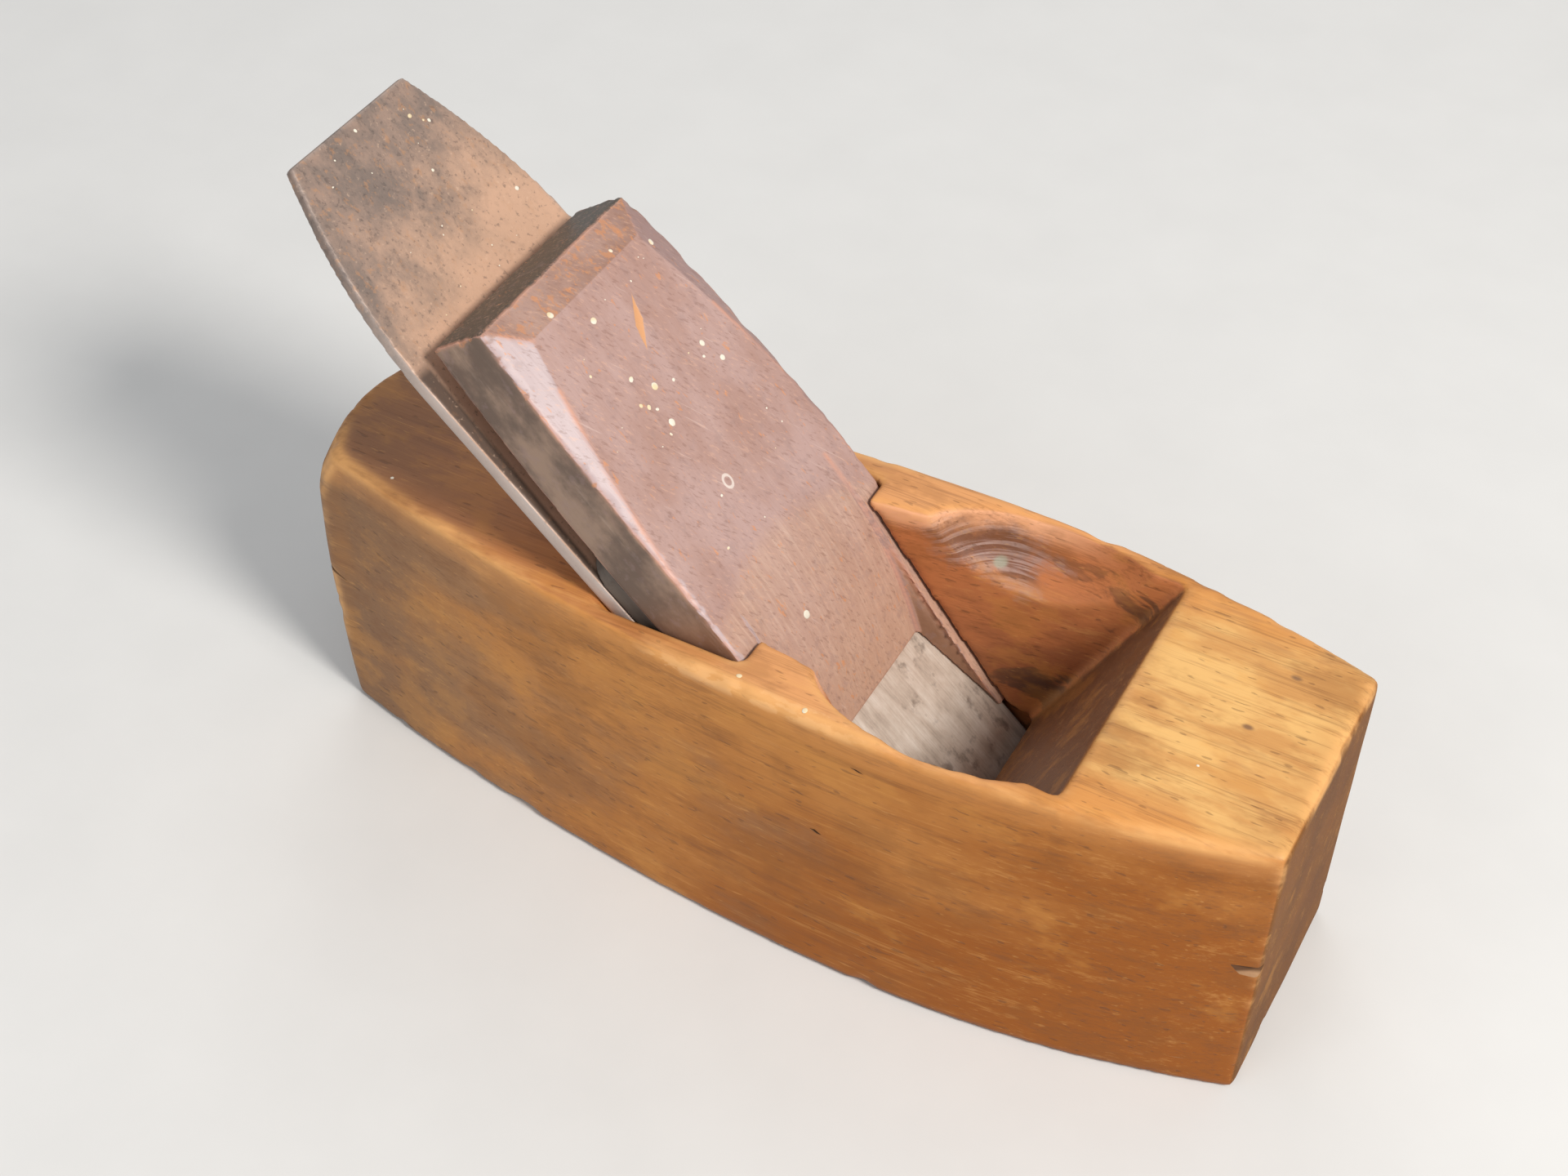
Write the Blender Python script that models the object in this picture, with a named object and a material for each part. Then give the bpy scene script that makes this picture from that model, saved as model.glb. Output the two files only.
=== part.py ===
"""Coffin-shaped wooden smoothing plane with a double iron held by a wedge.

Metres, +Z up. The origin is on the sole at the middle of its length, +X points to the toe.
The irons and the wedge are modelled in the frame of the empty "iron_frame", whose +X runs up the
cutting iron's flat face from the cutting edge, and whose +Z stands square to that face.
"""

import math

import bmesh
import bpy
from mathutils import Vector

# Stock
STOCK_LENGTH = 0.203
STOCK_HEIGHT = 0.0671
WIDEST_HALF_WIDTH = 0.03715
WIDEST_X = 0.0276
TOE_HALF_WIDTH = 0.02475
HEEL_HALF_WIDTH = 0.0201
SIDE_DRAFT = 0.0012  # each side leans in this much from the sole to the top
DRAFT_FADE_X = 0.06  # towards the toe the sides become upright from here on
HEEL_LEAN = 0.0044  # the heel leans back this much ...
HEEL_LEAN_HEIGHT = 0.048  # ... up to this height
HEEL_CROWN = 0.0018  # the heel bulges this much at the middle of its width
HEEL_CORNER_RADIUS = 0.0035
HEEL_ROUND_START = 0.055  # the top of the heel is rounded over from this height
HEEL_ROUND_MIDDLE = 0.0012
HEEL_ROUND_SIDE = 0.0045
TOP_ARRIS = 0.001
SOLE_ARRIS = 0.0006
SIDE_STATIONS = 26
HEEL_STATIONS = 16
LEVELS = (0.1, 0.2, 0.35, 0.5, 0.65, 0.76, 0.84, 0.91, 0.96)  # shares of the height

# Irons: lengths are measured up the cutting iron's face from where it would meet the sole
IRON_ANGLE = math.radians(42.34)
MOUTH_X = 0.0445
IRON_TOP = 0.1983
IRON_HALF_WIDTH = 0.0278
IRON_EDGE_START = 0.0004
IRON_THICK_LOW = 0.0042
IRON_THICK_HIGH = 0.0024
IRON_BEVEL = math.radians(27.0)
IRON_HEAD_START = 0.150
IRON_HEAD_CURVE = 4.41  # 1/m: the head narrows by this times the square of the distance
SLOT_HALF_WIDTH = 0.005
SLOT_LOW = 0.050
SLOT_HIGH = 0.126
KEYHOLE_RADIUS = 0.0087
HEAD_STEPS = 10

CAP_GAP = 0.0003
CAP_THICKNESS = 0.004
CAP_NOSE = 0.0012
CAP_NOSE_LENGTH = 0.0208
CAP_NOSE_EDGE = 0.0002  # thickness left at the very tip
CAP_ARCH = 0.0015
CAP_ARCH_MARGIN = 0.0015  # the hollow underneath starts this far behind the nose
CAP_ARCH_END = 0.026
CAP_TOP = 0.110
CAP_HALF_WIDTH = 0.0275
CAP_CORNER_RADIUS = 0.006
CAP_STEPS = 14
CAP_CORNER_STEPS = 6

SCREW_AT = 0.068
SCREW_HEAD_RADIUS = 0.0078
SCREW_HEAD_HEIGHT = 0.0034
SCREW_RADIUS = 0.0026
SCREW_SLOT_WIDTH = 0.0016
SCREW_SLOT_DEPTH = 0.0014
SCREW_BEVEL = 0.0006
BOSS_RADIUS = 0.0046
BOSS_BORE_RADIUS = 0.0029
BOSS_BEVEL = 0.0003
BOSS_SHORT = 0.0006  # the boss stops this far inside the cutting iron's back

# Wedge, in the same frame
WEDGE_TOP = 0.158
WEDGE_TOP_LEAN = 0.0028  # the end face's front edge sits this much lower than its back edge
WEDGE_END_THICKNESS = 0.0133
WEDGE_CHAMFER_LENGTH = 0.0072
WEDGE_CHAMFER_DEPTH = 0.0024
WEDGE_CHAMFER_WIDTH = 0.0073
WEDGE_CHAMFER_END = 0.090
WEDGE_HALF_WIDTH = 0.0285
WEDGE_TOP_HALF_WIDTH = 0.0246
WEDGE_NARROWS_FROM = 0.085
SHOULDER_AT = 0.0805  # where the wedge's front face meets the top of the stock
SHOULDER_HEIGHT = 0.01715
LEG_TIP = 0.026
LEG_TIP_HEIGHT = 0.0053
SCOOP_START = 0.092
SCOOP_END = 0.0502
SCOOP_CURVE = 6.15  # 1/m
SCOOP_STEPS = 12
SCOOP_RUN_OUT = 0.004  # the scoop's cutter carries on this far above the front face
LEG_INNER_HALF_WIDTH = 0.0212
LEG_INNER_FLARE = 0.16
WEDGE_ARRIS = 0.0004
WEDGE_STEPS = 6

# Throat, in the stock's own frame
GROOVE_HALF_WIDTH = 0.02885
ABUTMENT_TOP_X = -0.0032
ABUTMENT_HALF_WIDTH = 0.0217
ABUTMENT_LOW_X = 0.0292
ABUTMENT_LOW_Z = 0.0214
THROAT_FRONT_X = 0.0617
THROAT_FRONT_HALF_WIDTH = 0.0304
THROAT_INSIDE_LOW = (0.015, 0.030)  # two points well inside the space the irons fill
THROAT_INSIDE_TOP_X = -0.020
CHEEK_RUN_ON = 0.010  # the cheeks are cut this far past the front wall
WEAR_TOP_X = 0.0352
WEAR_TOP_Z = 0.019
LIP_X = 0.0492
LIP_HEIGHT = 0.0038
SCOOP_CENTRE = (0.036, 0.021, 0.0755)
SCOOP_RADII = (0.0285, 0.0136, 0.0255)
HEAD_GROOVE_HALF_WIDTH = 0.0095
HEAD_GROOVE_LOW = 0.066
HEAD_GROOVE_DEPTH = 0.0046

CLEARANCE = 0.0003
SLIVER = 0.0001  # keeps faces that meet from lying in one plane
OVERSHOOT = 0.008  # cutters reach this far past the faces they open


def clear_scene():
    for item in list(bpy.data.objects):
        bpy.data.objects.remove(item, do_unlink=True)


def make_material(name, colour, roughness, metallic):
    material = bpy.data.materials.new(name)
    material.use_nodes = True
    shader = material.node_tree.nodes["Principled BSDF"]
    shader.inputs["Base Color"].default_value = (*colour, 1.0)
    shader.inputs["Roughness"].default_value = roughness
    shader.inputs["Metallic"].default_value = metallic
    return material


def beech():
    return make_material("beech", (0.50, 0.24, 0.075), 0.45, 0.0)


def dark_wedge_wood():
    return make_material("dark_wood", (0.20, 0.085, 0.055), 0.5, 0.0)


def rusty_iron():
    return make_material("rusty_steel", (0.22, 0.13, 0.095), 0.55, 0.7)


def grey_steel():
    return make_material("grey_steel", (0.32, 0.31, 0.29), 0.45, 0.9)


def dull_brass():
    return make_material("dull_brass", (0.45, 0.31, 0.12), 0.45, 0.9)


def screw_steel():
    return make_material("screw_steel", (0.25, 0.22, 0.19), 0.5, 0.9)


def link(item):
    bpy.context.scene.collection.objects.link(item)
    return item


def finish_mesh(name, bm):
    """Turns the faces outwards and makes the object."""
    bmesh.ops.recalc_face_normals(bm, faces=bm.faces)
    mesh = bpy.data.meshes.new(name)
    bm.to_mesh(mesh)
    bm.free()
    return link(bpy.data.objects.new(name, mesh))


def loft(name, rings):
    """Joins rings that have the same number of points, and closes both ends."""
    bm = bmesh.new()
    loops = [[bm.verts.new(point) for point in ring] for ring in rings]
    count = len(loops[0])
    for lower, upper in zip(loops, loops[1:]):
        for i in range(count):
            j = (i + 1) % count
            bm.faces.new((lower[i], lower[j], upper[j], upper[i]))
    bm.faces.new(loops[0])
    bm.faces.new(loops[-1])
    return finish_mesh(name, bm)


def prism_across(name, profile, half_width):
    """A profile of (x, z) points carried across Y. half_width is a length or a function of x."""
    def side(x):
        return half_width(x) if callable(half_width) else half_width

    rings = [[(x, sign * side(x), z) for x, z in profile] for sign in (-1, 1)]
    return loft(name, rings)


def make_cutter(item):
    item.hide_render = True
    item.display_type = "WIRE"
    return item


def add_boolean(item, other, operation):
    modifier = item.modifiers.new(f"{operation.lower()}_{other.name}", "BOOLEAN")
    modifier.operation = operation
    modifier.solver = "EXACT"
    modifier.object = other
    return modifier


def dress(item, material, smooth_angle=None):
    item.data.materials.append(material)
    if smooth_angle is not None:
        item.data.shade_smooth()
        item.data.set_sharp_from_angle(angle=smooth_angle)
    return item


def blend(value, start, end):
    """0 before start, 1 after end, smooth in between."""
    t = min(max((value - start) / (end - start), 0.0), 1.0)
    return t * t * (3.0 - 2.0 * t)


def side_half_width(x):
    """The coffin-shaped sides: one parabola to the toe and one to the heel, meeting at the widest place."""
    if x > WIDEST_X:
        narrowing = (WIDEST_HALF_WIDTH - TOE_HALF_WIDTH) / (STOCK_LENGTH / 2 - WIDEST_X) ** 2
    else:
        narrowing = (WIDEST_HALF_WIDTH - HEEL_HALF_WIDTH) / (STOCK_LENGTH / 2 + WIDEST_X) ** 2
    return WIDEST_HALF_WIDTH - narrowing * (x - WIDEST_X) ** 2


def draft(x, z):
    return SIDE_DRAFT * z / STOCK_HEIGHT * (1.0 - blend(x, DRAFT_FADE_X, STOCK_LENGTH / 2))


def heel_x(y, z):
    """Where the heel's end face is: leaning back, crowned across, and rounded over at the top."""
    across = y / HEEL_HALF_WIDTH
    lean = HEEL_LEAN * math.sin(min(z / HEEL_LEAN_HEIGHT, 1.0) * math.pi / 2)
    crown = HEEL_CROWN * (1.0 - across**2)
    over = max(z - HEEL_ROUND_START, 0.0) / (STOCK_HEIGHT - HEEL_ROUND_START)
    rounding = over**2 * (HEEL_ROUND_MIDDLE + HEEL_ROUND_SIDE * across**2)
    past = abs(y) - (HEEL_HALF_WIDTH - HEEL_CORNER_RADIUS)
    corner = 0.0
    if past > 0.0:
        share = min(past / HEEL_CORNER_RADIUS, 1.0)
        corner = HEEL_CORNER_RADIUS * (1.0 - math.sqrt(1.0 - share**2))
    return -STOCK_LENGTH / 2 - lean - crown + rounding + corner


def stock_ring(z, inset):
    """The stock's outline at one height, shrunk by the width of the arris."""
    toe = STOCK_LENGTH / 2
    start = -toe + HEEL_CORNER_RADIUS
    outline = []
    for i in range(SIDE_STATIONS + 1):
        x = toe + (start - toe) * i / SIDE_STATIONS
        outline.append((x, side_half_width(x) - draft(x, z)))
    _, side = outline[-1]
    for i in range(1, HEEL_STATIONS):
        y = side * math.cos(math.pi * i / HEEL_STATIONS)
        scaled = y * HEEL_HALF_WIDTH / side
        outline.append((heel_x(scaled, z), y))
    for i in range(SIDE_STATIONS, -1, -1):
        x, y = outline[i]
        outline.append((x, -y))
    count = len(outline)
    ring = []
    for i, (x, y) in enumerate(outline):
        before = Vector(outline[i - 1])
        after = Vector(outline[(i + 1) % count])
        along = (after - before).normalized()
        ring.append((x - along.y * inset, y + along.x * inset, z))
    return ring


def make_stock(iron_frame):
    levels = [0.0, SOLE_ARRIS]
    levels += [STOCK_HEIGHT * share for share in LEVELS]
    levels += [STOCK_HEIGHT - TOP_ARRIS, STOCK_HEIGHT]
    insets = [SOLE_ARRIS] + [0.0] * (len(levels) - 2) + [TOP_ARRIS]
    stock = loft("stock", [stock_ring(z, inset) for z, inset in zip(levels, insets)])
    add_boolean(stock, groove_cutter(), "DIFFERENCE")
    add_boolean(stock, throat_cutter(), "DIFFERENCE")
    add_boolean(stock, head_groove_cutter(iron_frame), "DIFFERENCE")
    return dress(stock, beech(), math.radians(25))


def to_stock(along, out):
    """A point of the irons' frame, as (x, z) of the stock."""
    cosine = math.cos(IRON_ANGLE)
    sine = math.sin(IRON_ANGLE)
    return MOUTH_X - along * cosine + out * sine, along * sine + out * cosine


def iron_back(along):
    """How far the cutting iron's back is behind its face: it is thicker towards the edge."""
    return -IRON_THICK_LOW + (IRON_THICK_LOW - IRON_THICK_HIGH) * along / IRON_TOP


def on_line(start, end, z):
    """The point at height z on the line through two (x, z) points."""
    share = (z - start[1]) / (end[1] - start[1])
    return start[0] + (end[0] - start[0]) * share, z


def groove_cutter():
    """The space between the bed and the abutments, full width down to the mouth."""
    bed_low = to_stock(0.0, iron_back(0.0) - CLEARANCE)
    bed_high = to_stock(CAP_TOP, iron_back(CAP_TOP) - CLEARANCE)
    abutment_low = (ABUTMENT_LOW_X, ABUTMENT_LOW_Z)
    abutment_high = (ABUTMENT_TOP_X, STOCK_HEIGHT)
    profile = [
        on_line(bed_low, bed_high, STOCK_HEIGHT + OVERSHOOT),
        on_line(bed_low, bed_high, -OVERSHOOT / 4),
        (LIP_X, -OVERSHOOT / 4),
        (LIP_X, LIP_HEIGHT),
        (WEAR_TOP_X, WEAR_TOP_Z),
        abutment_low,
        on_line(abutment_low, abutment_high, STOCK_HEIGHT + OVERSHOOT),
    ]
    return make_cutter(prism_across("groove_cutter", profile, GROOVE_HALF_WIDTH))


def cheek_half_width(x):
    """The upright cheeks spread from the abutments to the throat's front wall."""
    spread = THROAT_FRONT_HALF_WIDTH - ABUTMENT_HALF_WIDTH
    return ABUTMENT_HALF_WIDTH + spread * (x - ABUTMENT_TOP_X) / (THROAT_FRONT_X - ABUTMENT_TOP_X)


def throat_cutter():
    """The open throat between the cheeks, with a hollow scooped out of each cheek."""
    high = STOCK_HEIGHT + OVERSHOOT
    inside_high = (THROAT_INSIDE_TOP_X, high)
    wall_top = (THROAT_FRONT_X, STOCK_HEIGHT)
    wall_foot = (WEAR_TOP_X, WEAR_TOP_Z)
    wall_past_foot = on_line(wall_top, wall_foot, WEAR_TOP_Z - OVERSHOOT / 2)
    cheeks = [
        (on_line(wall_top, wall_foot, high)[0] + CHEEK_RUN_ON, high),
        (wall_past_foot[0] + CHEEK_RUN_ON, wall_past_foot[1]),
        wall_past_foot,
        THROAT_INSIDE_LOW,
        inside_high,
    ]
    cutter = make_cutter(prism_across("throat_cutter", cheeks, cheek_half_width))
    for side, sign in (("left", 1), ("right", -1)):
        add_boolean(cutter, scoop_cutter(side, sign), "UNION")
    wall = [
        on_line(wall_top, wall_foot, high),
        wall_past_foot,
        THROAT_INSIDE_LOW,
        inside_high,
    ]
    before_wall = make_cutter(prism_across("wall_cutter", wall, WIDEST_HALF_WIDTH))
    add_boolean(cutter, before_wall, "INTERSECT")
    return cutter


def scoop_cutter(side, sign):
    bm = bmesh.new()
    bmesh.ops.create_uvsphere(bm, u_segments=28, v_segments=20, radius=1.0)
    x, y, z = SCOOP_CENTRE
    bmesh.ops.scale(bm, verts=bm.verts, vec=SCOOP_RADII)
    bmesh.ops.translate(bm, verts=bm.verts, vec=(x, sign * y, z))
    return make_cutter(finish_mesh(f"scoop_cutter_{side}", bm))


def round_slot(low, high, half_width, segments):
    """A slot with round ends in the irons' frame, as (along, across) points."""
    points = []
    for centre, turn in ((high, -math.pi / 2), (low, math.pi / 2)):
        for i in range(segments + 1):
            angle = turn + math.pi * i / segments
            points.append((centre + half_width * math.cos(angle), half_width * math.sin(angle)))
    return points


def upright(name, outline, low, high):
    """An outline of (x, y) points raised from low to high."""
    return loft(name, [[(x, y, z) for x, y in outline] for z in (low, high)])


def in_frame(item, iron_frame):
    item.parent = iron_frame
    return item


def through_cutter(name, outline, iron_frame):
    """A cutter that passes right through the irons."""
    return make_cutter(in_frame(upright(name, outline, -OVERSHOOT, OVERSHOOT), iron_frame))


def head_groove_cutter(iron_frame):
    """The groove down the bed in which the screw's head slides."""
    outline = round_slot(HEAD_GROOVE_LOW, IRON_TOP, HEAD_GROOVE_HALF_WIDTH, 12)
    bottom = iron_back(SCREW_AT) - CLEARANCE - HEAD_GROOVE_DEPTH
    cutter = upright("head_groove_cutter", outline, bottom, 0.0)
    return make_cutter(in_frame(cutter, iron_frame))


def make_cutting_iron(iron_frame):
    bevel_length = IRON_THICK_LOW / math.tan(IRON_BEVEL)
    heel_of_bevel = IRON_EDGE_START + bevel_length
    profile = [
        (IRON_EDGE_START, 0.0),
        (heel_of_bevel, iron_back(heel_of_bevel)),
        (IRON_TOP, iron_back(IRON_TOP)),
        (IRON_TOP, 0.0),
    ]
    iron = prism_across("cutting_iron", profile, IRON_HALF_WIDTH)
    head = [(IRON_EDGE_START - OVERSHOOT, IRON_HALF_WIDTH + OVERSHOOT)]
    head += [(IRON_HEAD_START - OVERSHOOT, IRON_HALF_WIDTH + OVERSHOOT)]
    head += [(IRON_HEAD_START, IRON_HALF_WIDTH + SLIVER)]
    for i in range(1, HEAD_STEPS + 1):
        past = (IRON_TOP + OVERSHOOT - IRON_HEAD_START) * i / HEAD_STEPS
        head.append((IRON_HEAD_START + past, IRON_HALF_WIDTH - IRON_HEAD_CURVE * past**2))
    head += [(x, -y) for x, y in reversed(head)]
    slot = round_slot(SLOT_LOW, SLOT_HIGH, SLOT_HALF_WIDTH, 12)
    keyhole = round_slot(SLOT_LOW, SLOT_LOW + SLIVER, KEYHOLE_RADIUS, 16)
    in_frame(iron, iron_frame)
    add_boolean(iron, through_cutter("iron_outline", head, iron_frame), "INTERSECT")
    add_boolean(iron, through_cutter("iron_slot", slot, iron_frame), "DIFFERENCE")
    add_boolean(iron, through_cutter("iron_keyhole", keyhole, iron_frame), "DIFFERENCE")
    return dress(iron, rusty_iron(), math.radians(30))


def cap_top(along):
    """The cap iron's front face: flat, then a quarter ellipse down to the nose."""
    past = CAP_NOSE + CAP_NOSE_LENGTH - along
    if past <= 0.0:
        return CAP_GAP + CAP_THICKNESS
    return CAP_GAP + CAP_THICKNESS * math.sqrt(max(1.0 - (past / CAP_NOSE_LENGTH) ** 2, 0.0))


def make_cap_iron(iron_frame):
    profile = []
    for i in range(CAP_STEPS + 1):
        angle = math.pi / 2 * i / CAP_STEPS
        along = CAP_NOSE + CAP_NOSE_LENGTH * (1.0 - math.cos(angle))
        profile.append((along, max(cap_top(along), CAP_GAP + CAP_NOSE_EDGE)))
    profile.append((CAP_TOP, CAP_GAP + CAP_THICKNESS))
    profile.append((CAP_TOP, CAP_GAP))
    arch_start = CAP_NOSE + CAP_ARCH_MARGIN
    for i in range(CAP_STEPS + 1):
        along = CAP_ARCH_END + (arch_start - CAP_ARCH_END) * i / CAP_STEPS
        profile.append((along, CAP_GAP + CAP_ARCH * math.sin(math.pi * i / CAP_STEPS)))
    profile.append((CAP_NOSE, CAP_GAP))
    cap = in_frame(prism_across("cap_iron", profile, CAP_HALF_WIDTH), iron_frame)
    reach = IRON_HALF_WIDTH + OVERSHOOT
    corner = CAP_TOP - CAP_CORNER_RADIUS
    outline = [(-OVERSHOOT, reach), (corner - OVERSHOOT, reach), (corner, CAP_HALF_WIDTH + SLIVER)]
    for i in range(1, CAP_CORNER_STEPS + 1):
        angle = math.pi / 2 * i / CAP_CORNER_STEPS
        across = CAP_HALF_WIDTH - CAP_CORNER_RADIUS * (1.0 - math.cos(angle))
        outline.append((corner + (CAP_CORNER_RADIUS + SLIVER) * math.sin(angle), across))
    outline += [(x, -y) for x, y in reversed(outline)]
    add_boolean(cap, through_cutter("cap_outline", outline, iron_frame), "INTERSECT")
    hole = turned("cap_hole", [(BOSS_RADIUS + CLEARANCE, -OVERSHOOT), (BOSS_RADIUS + CLEARANCE, OVERSHOOT)])
    add_boolean(cap, make_cutter(at_screw(hole, iron_frame)), "DIFFERENCE")
    return dress(cap, grey_steel(), math.radians(30))


def turned(name, profile, segments=28):
    """A round piece about Z from (radius, height) points, listed from the bottom up."""
    rings = []
    for radius, height in profile:
        ring = []
        for i in range(segments):
            angle = 2.0 * math.pi * i / segments
            ring.append((radius * math.cos(angle), radius * math.sin(angle), height))
        rings.append(ring)
    return loft(name, rings)


def at_screw(item, iron_frame):
    item.parent = iron_frame
    item.location = (SCREW_AT, 0.0, 0.0)
    return item


def make_boss(iron_frame):
    top = CAP_GAP + CAP_THICKNESS - SLIVER
    bottom = iron_back(SCREW_AT) + BOSS_SHORT
    profile = [
        (BOSS_RADIUS - BOSS_BEVEL, bottom),
        (BOSS_RADIUS, bottom + BOSS_BEVEL),
        (BOSS_RADIUS, top - BOSS_BEVEL),
        (BOSS_RADIUS - BOSS_BEVEL, top),
    ]
    boss = at_screw(turned("cap_iron_boss", profile), iron_frame)
    bore = turned("boss_bore", [(BOSS_BORE_RADIUS, -OVERSHOOT), (BOSS_BORE_RADIUS, OVERSHOOT)])
    add_boolean(boss, make_cutter(at_screw(bore, iron_frame)), "DIFFERENCE")
    return dress(boss, dull_brass(), math.radians(35))


def make_cap_screw(iron_frame):
    """A cheese-head screw, with the head behind the cutting iron and the slot facing the bed."""
    seat = iron_back(SCREW_AT) - CLEARANCE
    bottom = seat - SCREW_HEAD_HEIGHT
    profile = [
        (SCREW_HEAD_RADIUS - SCREW_BEVEL, bottom),
        (SCREW_HEAD_RADIUS, bottom + SCREW_BEVEL),
        (SCREW_HEAD_RADIUS, seat),
        (SCREW_RADIUS, seat),
        (SCREW_RADIUS, CAP_THICKNESS - SCREW_BEVEL),
        (SCREW_RADIUS - SCREW_BEVEL, CAP_THICKNESS),
    ]
    screw = at_screw(turned("cap_screw", profile), iron_frame)
    reach = SCREW_HEAD_RADIUS + OVERSHOOT
    half = SCREW_SLOT_WIDTH / 2
    outline = [(-reach, -half), (reach, -half), (reach, half), (-reach, half)]
    slot = upright("screw_slot", outline, bottom - OVERSHOOT, bottom + SCREW_SLOT_DEPTH)
    add_boolean(screw, make_cutter(at_screw(slot, iron_frame)), "DIFFERENCE")
    return dress(screw, screw_steel(), math.radians(35))


def wedge_half_width(along):
    past = max(along - WEDGE_NARROWS_FROM, 0.0) / (WEDGE_TOP - WEDGE_NARROWS_FROM)
    return WEDGE_HALF_WIDTH - (WEDGE_HALF_WIDTH - WEDGE_TOP_HALF_WIDTH) * past**2


def wedge_back():
    return CAP_GAP + CAP_THICKNESS + CLEARANCE


def wedge_front(along):
    """Height of the wedge's front face: the steeper taper of the legs, then the slacker head."""
    chamfer_foot = WEDGE_TOP - WEDGE_TOP_LEAN - WEDGE_CHAMFER_LENGTH
    head = wedge_back() + WEDGE_END_THICKNESS + WEDGE_CHAMFER_DEPTH
    if along > SHOULDER_AT:
        share = (along - SHOULDER_AT) / (chamfer_foot - SHOULDER_AT)
        return SHOULDER_HEIGHT + (head - SHOULDER_HEIGHT) * share
    share = (along - LEG_TIP) / (SHOULDER_AT - LEG_TIP)
    return LEG_TIP_HEIGHT + (SHOULDER_HEIGHT - LEG_TIP_HEIGHT) * share


def wedge_ring(along):
    """One cross-section, with the two front arrises cut off by the chamfers."""
    chamfer_foot = WEDGE_TOP - WEDGE_TOP_LEAN - WEDGE_CHAMFER_LENGTH
    left = max(along - WEDGE_CHAMFER_END, 0.0) / (chamfer_foot - WEDGE_CHAMFER_END)
    depth = max(WEDGE_CHAMFER_DEPTH * left, WEDGE_ARRIS)
    width = max(WEDGE_CHAMFER_WIDTH * left**1.5, WEDGE_ARRIS)
    side = wedge_half_width(along)
    back = wedge_back()
    front = wedge_front(along)
    half = [(side, back), (side, front - depth), (side - width, front)]
    return [(along, y, z) for y, z in half] + [(along, -y, z) for y, z in reversed(half)]


def wedge_end_ring():
    """The end face, which leans: its front edge is where the chamfers start."""
    side = WEDGE_TOP_HALF_WIDTH
    back = wedge_back()
    front = back + WEDGE_END_THICKNESS
    low = WEDGE_TOP - WEDGE_TOP_LEAN
    half = [
        (WEDGE_TOP, side, back),
        (low + WEDGE_ARRIS / 4, side, front - WEDGE_ARRIS),
        (low, side - WEDGE_ARRIS, front),
    ]
    return half + [(x, -y, z) for x, y, z in reversed(half)]


def scoop_profile():
    """The scoop's curve as (along, height), from the front face down to the thin edge on the cap iron."""
    start_height = wedge_front(SCOOP_START)
    slope = (start_height - wedge_front(SHOULDER_AT)) / (SCOOP_START - SHOULDER_AT)
    points = []
    for i in range(SCOOP_STEPS + 1):
        down = (SCOOP_START - SCOOP_END) * i / SCOOP_STEPS
        points.append((SCOOP_START - down, start_height - slope * down - SCOOP_CURVE * down**2))
    return points


def leg_inner(along):
    return LEG_INNER_HALF_WIDTH + LEG_INNER_FLARE * max(SCOOP_END - along, 0.0)


def make_wedge(iron_frame):
    stations = [LEG_TIP, SHOULDER_AT, WEDGE_NARROWS_FROM, WEDGE_CHAMFER_END]
    chamfer_foot = WEDGE_TOP - WEDGE_TOP_LEAN - WEDGE_CHAMFER_LENGTH
    for i in range(1, WEDGE_STEPS + 1):
        stations.append(WEDGE_CHAMFER_END + (chamfer_foot - WEDGE_CHAMFER_END) * i / WEDGE_STEPS)
    rings = [wedge_ring(along) for along in stations] + [wedge_end_ring()]
    wedge = in_frame(loft("wedge", rings), iron_frame)
    curve = scoop_profile()
    past_tip = LEG_TIP - OVERSHOOT
    high = wedge_back() + WEDGE_END_THICKNESS + OVERSHOOT
    run_out = SCOOP_START + SCOOP_RUN_OUT
    profile = [(run_out, high), (run_out, curve[0][1] + CLEARANCE)]
    profile += curve
    profile += [(SCOOP_END, 0.0), (past_tip, 0.0), (past_tip, high)]
    cutter = prism_across("wedge_scoop", profile, leg_inner)
    add_boolean(wedge, make_cutter(in_frame(cutter, iron_frame)), "DIFFERENCE")
    return dress(wedge, dark_wedge_wood(), math.radians(20))


def make_iron_frame():
    """+X up the cutting iron's face, +Z square to it, and the origin where the face meets the sole."""
    frame = link(bpy.data.objects.new("iron_frame", None))
    frame.location = (MOUTH_X, 0.0, 0.0)
    frame.rotation_euler = (0.0, -IRON_ANGLE, math.pi)
    frame.empty_display_size = 0.02
    return frame


def main():
    clear_scene()
    iron_frame = make_iron_frame()
    make_stock(iron_frame)
    make_cutting_iron(iron_frame)
    make_cap_iron(iron_frame)
    make_boss(iron_frame)
    make_cap_screw(iron_frame)
    make_wedge(iron_frame)
    bpy.context.view_layer.update()


main()
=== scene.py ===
import math
import random

import bmesh
import bpy
import numpy as np
from mathutils import Matrix, Vector, kdtree, noise
from mathutils.bvhtree import BVHTree


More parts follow.
